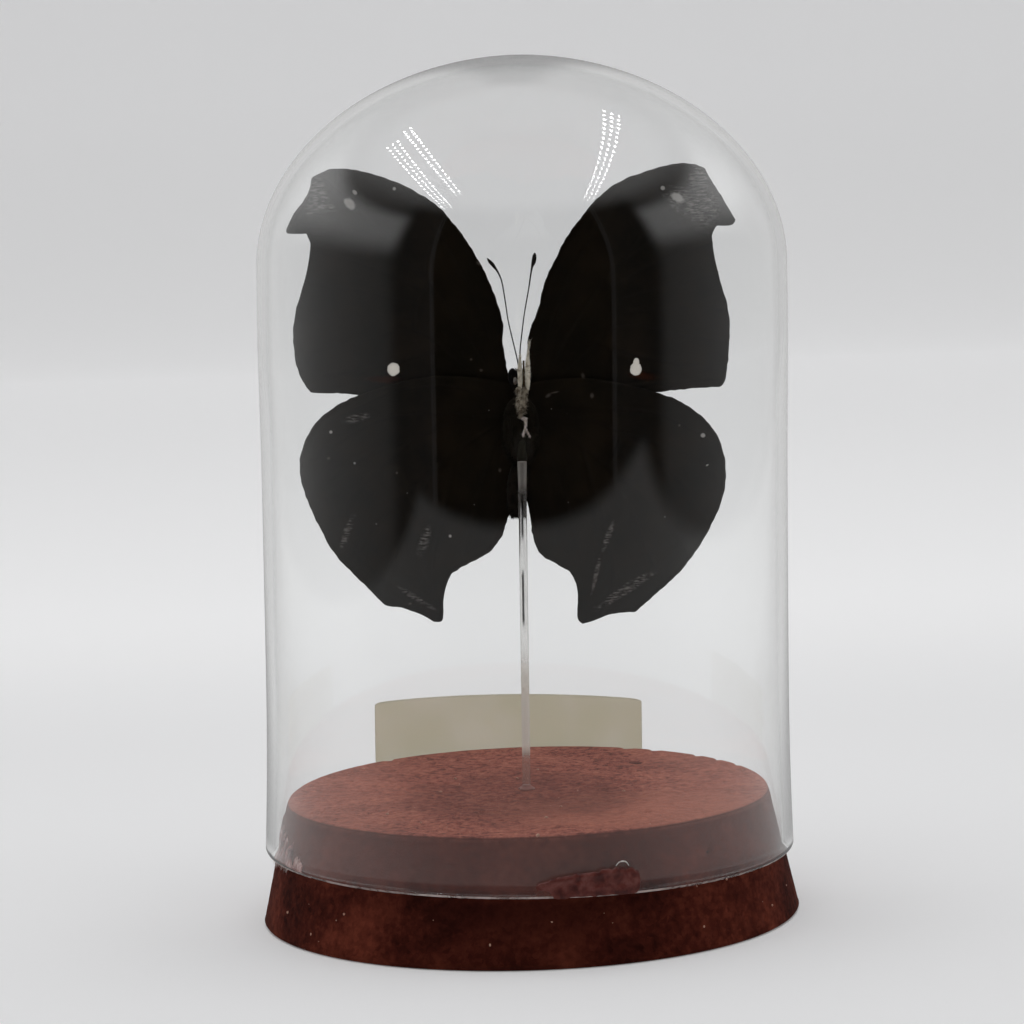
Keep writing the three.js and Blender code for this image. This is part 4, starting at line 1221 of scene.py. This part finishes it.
def wingMaterial(name, values, isUpper):
    # Fine scales in rows, broad shading, veins, pale and clear spots, and pale streaky patches: rubbed
    # scales, and along the fold creases painted highlights. The plan coordinates are millimetres out from the
    # body and up.
    material, tree = newMaterial(name)[:2]
    uv = node(tree, "UVMap", uv_map="plan").outputs[0]
    centred = node(tree, "VectorMath", {0: uv, 1: (0.5, 0.5, 0)}, operation="SUBTRACT").outputs[0]
    plan = node(tree, "VectorMath", {0: centred, 1: (100, 100, 0)}, operation="MULTIPLY").outputs[0]
    out, up = node(tree, "SeparateXYZ", {0: plan}).outputs[:2]
    broad = noise(tree, plan, 0.10, 3.0)
    mottle = noise(tree, plan, 0.7, 5.0, 0.6)
    grain = noise(tree, plan, 5.5, 3.0, 0.7)
    vein = node(tree, "Attribute", attribute_name="vein").outputs["Fac"]
    ragged = calc(tree, "MULTIPLY", calc(tree, "SUBTRACT", noise(tree, plan, 1.5, 4.0), 0.5), 0.7)
    if isUpper:
        colour = tint(tree, between(tree, broad, 0.35, 0.7), wing["upper"], wing["upperWarm"])
        if values["depth"] > 0:
            lane = calc(tree, "ADD", calc(tree, "MULTIPLY", out, 0.74), calc(tree, "MULTIPLY", up, 0.67))
            lane = calc(tree, "ADD", lane, calc(tree, "MULTIPLY", ragged, 3.0))
            band = calc(tree, "MULTIPLY", between(tree, lane, 27, 30), between(tree, lane, 38, 41, 1.0, 0.0))
            colour = tint(tree, calc(tree, "MULTIPLY", band, 0.8), colour, wing["upperBand"])
        sheen = between(tree, out, 6, 26, 0.75, 0.0)
        colour = tint(tree, sheen, colour, wing["upperSheen"])
        colour = tint(tree, calc(tree, "MULTIPLY", vein, 0.5), colour, wing["under"])
    else:
        colour = tint(tree, between(tree, broad, 0.35, 0.7), wing["under"], wing["underWarm"])
        colour = tint(tree, calc(tree, "MULTIPLY", vein, 0.5), colour, wing["veinTone"])
    colour = tint(tree, between(tree, mottle, 0.45, 0.8, 0.0, 0.45), colour, wing["underWarm"])
    colour = tint(tree, calc(tree, "MULTIPLY", grain, 0.35), colour, wing["groove"])
    # Pale streaky patches: rubbed scales, and along the fold creases painted highlights of the folds.
    rubbedAndHighlit = anyOval(tree, plan, values["rubsAndCreaseHighlights"], calc(tree, "MULTIPLY", ragged, 2.0), 0.5)
    stretched = node(tree, "Mapping", {"Vector": plan, "Scale": (0.5, 2.2, 1)}).outputs[0]
    streaks = noise(tree, stretched, 1.2, 5.0, 0.65)
    rubbedAndHighlit = calc(tree, "MULTIPLY", rubbedAndHighlit, between(tree, streaks, 0.42, 0.66, 0.0, 0.8))
    colour = tint(tree, rubbedAndHighlit, colour, wing["rubAndHighlightTone"])
    dust = node(tree, "TexVoronoi", {"Scale": 0.32, "Vector": plan})
    pick = node(tree, "SeparateColor", {0: dust.outputs["Color"]}).outputs[0]
    speck = between(tree, pick, 0.72, 1.0, 0.0, 0.05, smooth=False)      # its size, none in most cells
    isDust = calc(tree, "LESS_THAN", dust.outputs["Distance"], speck)
    colour = tint(tree, calc(tree, "MULTIPLY", isDust, 0.7), colour, wing["rubAndHighlightTone"])
    for oval in values["paleSpots"]:
        colour = tint(tree, ovalMask(tree, plan, oval, ragged, 0.3), colour, wing["pale"])
    for oval in values["faintSpots"]:
        colour = tint(tree, ovalMask(tree, plan, oval, ragged, 0.75), colour, wing["faint"])
    wave = {"Vector": plan, "Scale": 1.6, "Distortion": 3.0, "Detail": 2.0}
    rows = node(tree, "TexWave", wave).outputs["Fac"]
    height = calc(tree, "ADD", calc(tree, "MULTIPLY", grain, 0.8), calc(tree, "MULTIPLY", rows, 0.3))
    scales = principled(tree, {
        "Base Color": colour, "Roughness": 0.62, "Specular IOR Level": 0.1,
        "Normal": bumped(tree, height, 0.2, 0.00006),
    })
    # Light comes through thinly, and warmly in the glowing patches.
    thin, share = (*wing["through"], 1), 0.22
    if values["glows"]:
        glowing = calc(tree, "MULTIPLY", anyOval(tree, plan, values["glows"], ragged, 0.8), 0.5)
        thin = tint(tree, glowing, wing["through"], wing["glow"])
        share = between(tree, glowing, 0.0, 0.5, 0.22, 0.6)
    glow = node(tree, "BsdfTranslucent", {"Color": thin}).outputs[0]
    shader = node(tree, "MixShader", {0: share, 1: scales, 2: glow}).outputs[0]
    if values["clearSpots"]:
        mask = anyOval(tree, plan, values["clearSpots"], calc(tree, "MULTIPLY", ragged, 0.5), 0.08)
        film = node(tree, "BsdfTranslucent", {"Color": (*wing["windowFilm"], 1)}).outputs[0]
        face = node(tree, "BsdfDiffuse", {"Color": (*wing["windowFace"], 1)}).outputs[0]
        window = node(tree, "BsdfTransparent", {"Color": (*wing["windowClear"], 1)}).outputs[0]
        milk = node(tree, "MixShader", {0: 0.5, 1: face, 2: film}).outputs[0]
        pane = node(tree, "MixShader", {0: 0.55, 1: milk, 2: window}).outputs[0]
        shader = node(tree, "MixShader", {0: mask, 1: shader, 2: pane}).outputs[0]
    finishMaterial(tree, shader)
    return material


for wingName, wingValues in wings.items():
    makeWing(wingName, wingValues)

# Paper label.
paper = {
    "arc": 66, "turn": -5.2, "bottom": 4.0, "top": 21.0, "length": 57, "thickness": 0.12, "tilt": -0.85,
    "face": (0.885, 0.845, 0.76), "aged": (0.835, 0.80, 0.69), "fibre": (0.58, 0.53, 0.44),
    "seeThrough": 0.88, "steps": 160, "rows": 36,
}


def paperMaterial():
    material, tree, place = newMaterial("agedPaper")
    fibres = noise(tree, place, 3.5, 6.0, 0.7)
    clouds = noise(tree, place, 0.09, 3.0)
    colour = tint(tree, between(tree, clouds, 0.35, 0.7), paper["face"], paper["aged"])
    colour = tint(tree, calc(tree, "MULTIPLY", fibres, 0.22), colour, paper["fibre"])
    face = principled(tree, {
        "Base Color": colour, "Roughness": 0.8, "Specular IOR Level": 0.25,
        "Normal": bumped(tree, fibres, 0.3, 0.00006),
    })
    through = node(tree, "BsdfTranslucent", {"Color": colour}).outputs[0]
    finishMaterial(tree, node(tree, "MixShader", {0: paper["seeThrough"], 1: face, 2: through}).outputs[0])
    return material


def makeLabel():
    # A thin sheet bent round the back of the dome. Along its length it drops with the tilt, its
    # corners are slightly rounded, and its skin swells and settles by a few hundredths.
    along = np.linspace(0, 1, paper["steps"])
    up = np.linspace(0, 1, paper["rows"])
    radius = domeRadius(paper["bottom"]) + 0.3
    angle = np.radians(90 - paper["turn"] - paper["arc"] / 2 + paper["arc"] * along)
    sideways = math.radians(paper["arc"]) * radius * (0.5 - along)
    corner = 0.5 * np.exp(-np.minimum(along, 1 - along) * 90)
    low, high = paper["bottom"] + corner, paper["top"] - corner
    drop = sideways * math.tan(math.radians(paper["tilt"]))
    z = low[:, None] + (high - low)[:, None] * up + drop[:, None]
    x, y = (radius * part(angle)[:, None] + 0 * z for part in (np.cos, np.sin))
    flat = np.stack([x, y, z], axis=-1)
    swell = 0.05 * wobble(flat, 8.0) + 0.05
    tall, long = paper["top"] - paper["bottom"], paper["length"]
    edge = np.minimum(np.minimum(up, 1 - up)[None] * tall, np.minimum(along, 1 - along)[:, None] * long)
    half = 0.5 * paper["thickness"] * smoothstep(-0.05, 0.25, edge)
    away = np.stack([np.cos(angle), np.sin(angle), 0 * angle], axis=-1)[:, None]
    middle = flat + away * (swell + paper["thickness"] / 2)[..., None]
    inner, outer = middle - away * half[..., None], middle + away * half[..., None]
    skin = closedRows(leaned(np.concatenate([inner, outer[:, -2:0:-1]], axis=1)))
    addPiece("paperLabel", skin, [paperMaterial()], ["paper_label"])


makeLabel()

# Glue at the rim.
films = {
    # Upper and lower edges as angle in degrees and height. The front film laps over the outside of
    # the glass, where heights count from the rim, and the left one lies on the cork's taper.
    "rim_glue_front": {
        "label": "rimGlueFront", "onGlass": True, "shaggy": 0.22, "bead": 0.10,
        "upper": [(-89.0, 2.2), (-88.4, 3.0), (-86.1, 3.6), (-83.6, 4.0), (-80.6, 4.4), (-77.9, 4.7),
                  (-75.6, 4.8), (-73.3, 5.1), (-71.0, 5.25), (-68.6, 4.95), (-67.2, 4.1), (-66.8, 2.6)],
        "lower": [(-89.0, 1.9), (-86.5, 1.3), (-85.3, 0.1), (-83.2, 0.0), (-81.8, 0.4), (-76.4, 0.2),
                  (-67.8, 0.25), (-67.1, 0.8), (-66.8, 1.6)],
        "deep": (0.070, 0.013, 0.010), "red": (0.135, 0.029, 0.022), "pale": (0.20, 0.062, 0.052),
    },
    "rim_glue_left": {
        "label": "rimGlueLeft", "onGlass": False, "shaggy": 2.2, "bead": 0.12,
        "upper": [(-178, 17.5), (-173, 20.4), (-168, 18.2), (-163, 17.2), (-160, 18.0), (-155, 15.6),
                  (-149, 14.0)],
        "lower": [(-178, 16.6), (-170, 14.4), (-162, 13.7), (-155, 13.4), (-149, 13.4)],
        "deep": (0.13, 0.028, 0.023), "red": (0.32, 0.10, 0.085), "pale": (0.82, 0.57, 0.53),
    },
}
# The films' mesh, the rough height and length that set how quickly they thin at the margin, and
# the lumps of their skin.
filmSkin = {
    "steps": 170, "rows": 30, "height": 6, "length": 30,
    "thick": 0.16, "coarse": 0.10, "fine": 0.04, "beadAt": 0.85, "beadWidth": 0.1,
}
# A painted highlight on the edge of a bubble over the front film, a pale arch given as angle and height, and
# stray fibres at the left.
bubbleHighlight =[(-72.3, 5.5), (-71.6, 6.15), (-70.8, 6.3), (-70.0, 6.1), (-69.4, 5.4)]
fibres = {
    "from": -171, "to": -158, "height": 13.5, "count": 36, "length": 1.7, "radius": 0.035,
    "dark": (0.62, 0.55, 0.52), "light": (0.88, 0.84, 0.81),
}


def stainMaterial(name, values):
    material, tree, place = newMaterial(name)
    lumps = noise(tree, place, 0.42, 4.0, 0.55, 0.25)
    colour = ramp(tree, lumps, [(0.38, values["deep"]), (0.52, values["red"]), (0.68, values["pale"])])
    shader = principled(tree, {
        "Base Color": colour, "Roughness": 0.4, "Specular IOR Level": 0.25,
        "Coat Weight": 0.06, "Coat Roughness": 0.2, "Normal": bumped(tree, lumps, 0.5, 0.0003),
    })
    finishMaterial(tree, shader)
    return material


def makeBubbleHighlight():
    # A thin pale arch along the spots, standing on the glass, as a painted highlight on a bubble's edge:
    # rings about the curve in the plane of the away direction and the one across it, tapered to both ends.
    path = splineThrough(bubbleHighlight, 8)
    angle, z = np.radians(path[:, 0]), path[:, 1]
    away = np.stack([np.cos(angle), np.sin(angle), 0 * angle], axis=-1)
    centres = away * (domeRadius(z) + 0.12)[:, None]
    centres[:, 2] = z
    along = np.gradient(centres, axis=0)
    aside = np.cross(along / np.linalg.norm(along, axis=1, keepdims=True), away)
    turn = np.linspace(0, 2 * math.pi, 10, endpoint=False)
    size = 0.13 * np.sin(np.linspace(0.25, math.pi - 0.25, len(path)))
    ring = away[:, None] * np.cos(turn)[:, None] + aside[:, None] * np.sin(turn)[:, None]
    return closedRows(leaned(centres[:, None] + size[:, None, None] * ring))


def makeFibres():
    # Short pale hairs that hang from the rim, rooted between the cork and the glass.
    rng = np.random.default_rng(88)
    angle = np.radians(rng.uniform(fibres["from"], fibres["to"], fibres["count"]))
    reach = corkRadius(fibres["height"]) + rng.uniform(0.2, 1.2, fibres["count"])
    level = np.full(len(angle), fibres["height"])
    roots = np.stack([reach * np.cos(angle), reach * np.sin(angle), level], axis=-1)
    down = np.tile([-0.25, -0.1, -1.0], (len(roots), 1))
    return hairs(roots, down, np.full(len(roots), fibres["length"]), fibres["radius"], 89, 0.4)


def makeFilm(name, values):
    # A smear between two drawn edges. The upper one is ragged by a wobble, the skin is lumpy, and
    # a rolled bead runs along the upper edge.
    upper, lower = np.array(values["upper"]), np.array(values["lower"])
    degrees = np.linspace(upper[0, 0], upper[-1, 0], filmSkin["steps"])
    up = np.linspace(0, 1, filmSkin["rows"])
    angle = np.radians(degrees)
    runs = np.stack([degrees * 0.85, 0 * angle, 0 * angle], axis=-1)
    low = np.interp(degrees, lower[:, 0], lower[:, 1]) + 0.15 * wobble(runs + 3, 0.8)
    high = np.interp(degrees, upper[:, 0], upper[:, 1])
    reach = np.maximum(high - low + values["shaggy"] * rough(runs, 0.9), 0.12)
    z = low[:, None] + reach[:, None] * up
    radius = domeRadius(z) if values["onGlass"] else corkRadius(z)
    away = np.stack([np.cos(angle), np.sin(angle), 0 * angle], axis=-1)[:, None]
    base = away * (radius + 0.02)[..., None]
    base[..., 2] = z
    share = np.linspace(0, 1, len(angle))
    fromSides, fromEnds = np.minimum(up, 1 - up)[None], np.minimum(share, 1 - share)[:, None]
    edge = np.minimum(fromSides * filmSkin["height"], fromEnds * filmSkin["length"])
    coarse, fine = filmSkin["coarse"] * wobble(base, 1.1), filmSkin["fine"] * wobble(base + 9, 0.6)
    lump = filmSkin["thick"] + coarse + fine
    bead = values["bead"] * np.exp(-(((up - filmSkin["beadAt"]) / filmSkin["beadWidth"]) ** 2))
    lump = smoothstep(-0.02, 0.6, edge) * (lump + bead)
    grid = np.concatenate([base + away * lump[..., None], base[:, -2:0:-1]], axis=1)
    skins = [closedRows(leaned(grid) if values["onGlass"] else grid)]
    skins.append(makeBubbleHighlight() if values["onGlass"] else makeFibres())
    slots = np.repeat([0, 1], [len(skin[1]) for skin in skins]).astype(np.int32)
    materials = [stainMaterial(values["label"] + "Stain", values), paleFibreAndHighlight]
    addPiece(values["label"], joined(skins), materials, [name], slots)


# Shared by the real fibres and by the pale arch of painted highlight.
paleFibreAndHighlight = hairMaterial("paleFibreAndHighlight", fibres["dark"], fibres["light"], 0.6, 0.1)
for filmName, filmValues in films.items():
    makeFilm(filmName, filmValues)

# Studio.
studio = {
    "floorFront": -1500, "floorSide": 1700, "backWall": 1250, "sweep": 120, "wallTop": 1500,
    "floorColour": (0.80, 0.80, 0.81), "frontShade": 0.85, "paleSky": 0.62,
    "floorLift": (0.13, 0.235), "wallLift": (0.0, 0.02),     # light added to the floor and wall, near and far
    # The tent's floor as the glass mirrors it: its front edge curves, and its sides close in.
    "mirrorFront": -672, "mirrorBow": 0.00055, "mirrorShift": 110, "mirrorSide": 555,
    "mirrorNear": 0.40, "mirrorFar": 0.27, "mirrorBehind": 0.38, "mirrorBeside": 0.25,
    "stripHeight": 600, "stripRows": 20, "columnGap": 19, "dotLength": 12, "dotWidth": 6, "dotLight": 26.0,
    # Each light bar's name, near and far end and number of columns.
    "strips": [
        ("stripLeft", (-300, -378), (-300, 172), 3), ("stripInner", (-214, -290), (-242, 214), 2),
        ("stripRight", (280, -350), (206, 250), 3),
    ],
}


def mirroredRay(tree):
    # 1 once a ray has been mirrored by glass on its way, 0 otherwise.
    return calc(tree, "GREATER_THAN", node(tree, "LightPath").outputs["Glossy Depth"], 0.5)


def floorMaterial():
    # Pale and matt. Mirrored in the dome it shows as the floor of a tent with a curved front.
    material, tree, place = newMaterial("paleSweep")
    x, y = node(tree, "SeparateXYZ", {0: place}).outputs[:2]
    lift = calc(tree, "ADD", between(tree, y, 180, 420, *studio["floorLift"]),
                between(tree, y, 800, 1200, *studio["wallLift"]))
    # Bounced light finds the floor in front of the dome darker, as the camera's side of the room is.
    front = calc(tree, "MULTIPLY", node(tree, "LightPath").outputs["Is Diffuse Ray"],
                 between(tree, y, -420, -60, studio["frontShade"], 0.0))
    left = calc(tree, "SUBTRACT", 1.0, front)
    shown = tint(tree, left, (0.0, 0.0, 0.0), studio["floorColour"])
    pale = node(tree, "BsdfDiffuse", {"Color": shown}).outputs[0]
    strength = calc(tree, "MULTIPLY", lift, left)
    glow = node(tree, "Emission", {"Color": (1, 1, 1, 1), "Strength": strength}).outputs[0]
    pale = node(tree, "AddShader", {0: pale, 1: glow}).outputs[0]
    offset = calc(tree, "ADD", x, studio["mirrorShift"])
    bow = calc(tree, "MULTIPLY", calc(tree, "MULTIPLY", offset, offset), studio["mirrorBow"])
    inside = calc(tree, "SUBTRACT", y, calc(tree, "ADD", bow, studio["mirrorFront"]))
    aside = calc(tree, "ABSOLUTE", calc(tree, "ADD", x, 15))
    within = between(tree, aside, studio["mirrorSide"] - 40, studio["mirrorSide"] + 20, 1.0, 0.0)
    mask = calc(tree, "MULTIPLY", between(tree, inside, -6, 30), within)
    shine = between(tree, y, -520, -120, studio["mirrorFar"], studio["mirrorNear"])
    fall = studio["mirrorBehind"] - studio["mirrorNear"]
    shine = calc(tree, "ADD", shine, between(tree, y, 60, 800, 0.0, fall))
    beside = between(tree, calc(tree, "ABSOLUTE", x), 50, 200)
    beside = calc(tree, "MULTIPLY", beside, between(tree, y, -240, -60))
    shine = calc(tree, "ADD", shine, calc(tree, "MULTIPLY", beside, studio["mirrorBeside"]))
    mirrored = node(tree, "MixShader", {
        0: mask, 1: node(tree, "BsdfTransparent").outputs[0],
        2: node(tree, "Emission", {"Color": (1, 1, 1, 1), "Strength": shine}).outputs[0],
    }).outputs[0]
    finishMaterial(tree, node(tree, "MixShader", {0: mirroredRay(tree), 1: pale, 2: mirrored}).outputs[0])
    return material


def makeSweep():
    # Floor, curve and wall as one sheet: a line in Y and Z carried across in X.
    bend = np.linspace(0, math.pi / 2, 24)
    foot = studio["backWall"] - studio["sweep"]
    y = np.concatenate([[studio["floorFront"]], foot + studio["sweep"] * np.sin(bend), [studio["backWall"]]])
    z = np.concatenate([[0], studio["sweep"] * (1 - np.cos(bend)), [studio["wallTop"]]])
    side = studio["floorSide"]
    points = np.concatenate([np.stack([np.full(len(y), edge), y, z], axis=-1) for edge in (-side, side)])
    a = np.arange(len(y) - 1)
    quads = np.stack([a, a + len(y), a + len(y) + 1, a + 1], axis=-1)
    mesh = bpy.data.meshes.new("paleSweep")
    mesh.from_pydata((points * millimetre).tolist(), [], quads.tolist())
    mesh.polygons.foreach_set("use_smooth", np.ones(len(mesh.polygons), bool))
    mesh.materials.append(floorMaterial())
    sweep = bpy.data.objects.new("paleSweep", mesh)
    scene.collection.objects.link(sweep)


def lampMaterial(name, strength):
    material, tree = newMaterial(name)[:2]
    finishMaterial(tree, node(tree, "Emission", {"Color": (1, 1, 1, 1), "Strength": strength}).outputs[0])
    return material


def makeStrip(name, nearEnd, farEnd, columns, strength):
    # A light bar overhead: rows of small bright squares that only the glass shows.
    nearEnd, farEnd = np.array(nearEnd, float), np.array(farEnd, float)
    run = farEnd - nearEnd
    across = np.array([-run[1], run[0]]) / np.linalg.norm(run)
    shares = (np.arange(studio["stripRows"]) + 0.5) / studio["stripRows"]
    row, column = np.meshgrid(shares, np.arange(columns) - (columns - 1) / 2, indexing="ij")
    centres = nearEnd + row.reshape(-1, 1) * run + column.reshape(-1, 1) * across * studio["columnGap"]
    ahead = run / np.linalg.norm(run) * studio["dotLength"] / 2
    aside = across * studio["dotWidth"] / 2
    corners = np.stack([-ahead - aside, ahead - aside, ahead + aside, -ahead + aside])
    dots = (centres[:, None] + corners).reshape(-1, 2)
    dots = np.concatenate([dots, np.full((len(dots), 1), float(studio["stripHeight"]))], axis=1)
    mesh = bpy.data.meshes.new(name)
    mesh.from_pydata((dots * millimetre).tolist(), [], np.arange(len(dots)).reshape(-1, 4)[:, ::-1].tolist())
    mesh.materials.append(lampMaterial(name, strength))
    lamp = bpy.data.objects.new(name, mesh)
    lamp.visible_diffuse = False
    scene.collection.objects.link(lamp)


# Light of the tent's parts and where they lie, in degrees aside from the front and up.
tent = {
    "opening": 39.0, "flaps": (0.038, 0.020), "post": 0.14,
    "leftWall": (54, 63), "rightWall": (58, 67), "wall": (0.12, 0.27), "wallBehind": 0.28,
    "bar": (0.78, 0.1), "ceilingRise": (40, 54), "ceiling": 0.72,
}
overhead = {"size": (0.9, 0.7), "energy": 2.2, "place": (0, 0.05, 0.9)}      # metres and watts


def makeSky():
    # A light tent by direction: a dark opening in front with dim flaps beside it, walls that
    # brighten towards the back, a bright bar high on both walls and a bright ceiling.
    world = bpy.data.worlds.new("lightTent")
    scene.world = world
    world.use_nodes = True
    tree = world.node_tree
    tree.nodes.clear()
    aim = node(tree, "SeparateXYZ", {0: node(tree, "TexCoord").outputs["Generated"]})
    x, y, z = aim.outputs
    turn = calc(tree, "MULTIPLY", calc(tree, "ARCTAN2", x, calc(tree, "MULTIPLY", y, -1.0)), 180 / math.pi)
    side = calc(tree, "ABSOLUTE", turn)
    rise = calc(tree, "MULTIPLY", calc(tree, "ARCSINE", z), 180 / math.pi)
    # 1 to the left of the front, 0 to the right of it.
    left = between(tree, turn, -5, 5, 1.0, 0.0)
    opening = tent["opening"]
    flap = between(tree, turn, -5, 5, *tent["flaps"])
    light = between(tree, side, opening - 0.4, opening + 0.4, 0.002, 1.0)
    light = calc(tree, "MULTIPLY", light, flap)
    post = calc(tree, "MULTIPLY", between(tree, side, opening - 0.3, opening + 0.3),
                between(tree, side, opening + 0.6, opening + 1.2, 1.0, 0.0))
    light = calc(tree, "ADD", light, calc(tree, "MULTIPLY", post, tent["post"]))
    onLeft = calc(tree, "MULTIPLY", left, between(tree, side, *tent["leftWall"]))
    onRight = calc(tree, "MULTIPLY", between(tree, turn, -5, 5), between(tree, side, *tent["rightWall"]))
    onWall = calc(tree, "ADD", onLeft, onRight)
    wallLight = calc(tree, "ADD", between(tree, side, 60, 95, *tent["wall"], smooth=False),
                     between(tree, side, 95, 140, 0.0, tent["wallBehind"], smooth=False))
    bar = calc(tree, "MULTIPLY", between(tree, rise, 10, 27), between(tree, rise, 33, 41, 1.0, 0.0))
    bar = calc(tree, "MULTIPLY", bar, between(tree, side, 110, 150, *tent["bar"]))
    wallLight = calc(tree, "ADD", wallLight, bar)
    light = calc(tree, "ADD", light, calc(tree, "MULTIPLY", onWall, wallLight))
    ceiling = between(tree, rise, *tent["ceilingRise"])
    light = calc(tree, "ADD", calc(tree, "MULTIPLY", light, calc(tree, "SUBTRACT", 1.0, ceiling)),
                 calc(tree, "MULTIPLY", ceiling, tent["ceiling"]))
    # Seen straight, or only through glass, the surroundings are an even pale grey.
    path = node(tree, "LightPath")
    bounces = calc(tree, "SUBTRACT", path.outputs["Ray Depth"], path.outputs["Transmission Depth"])
    lit = calc(tree, "GREATER_THAN", bounces, 0.5)
    strength = calc(tree, "ADD", calc(tree, "MULTIPLY", lit, light),
                    calc(tree, "MULTIPLY", calc(tree, "SUBTRACT", 1.0, lit), studio["paleSky"]))
    sky = node(tree, "Background", {"Color": (1, 1, 1, 1), "Strength": strength})
    node(tree, "OutputWorld", {"Surface": sky.outputs[0]})


def makeOverhead():
    # A wide soft lamp above and behind the strips lifts the floor and the top of the cork.
    data = bpy.data.lights.new("overhead", "AREA")
    data.shape = "RECTANGLE"
    data.size, data.size_y = overhead["size"]
    data.energy = overhead["energy"]
    lamp = bpy.data.objects.new("overhead", data)
    scene.collection.objects.link(lamp)
    lamp.location = overhead["place"]
    lamp.visible_camera = False
    lamp.visible_glossy = False
    lamp.visible_transmission = False


makeSweep()
for stripName, nearEnd, farEnd, columns in studio["strips"]:
    makeStrip(stripName, nearEnd, farEnd, columns, studio["dotLight"])
makeSky()
makeOverhead()
scene.view_settings.view_transform = "Standard"
scene.view_settings.look = "None"
print("studio ready")
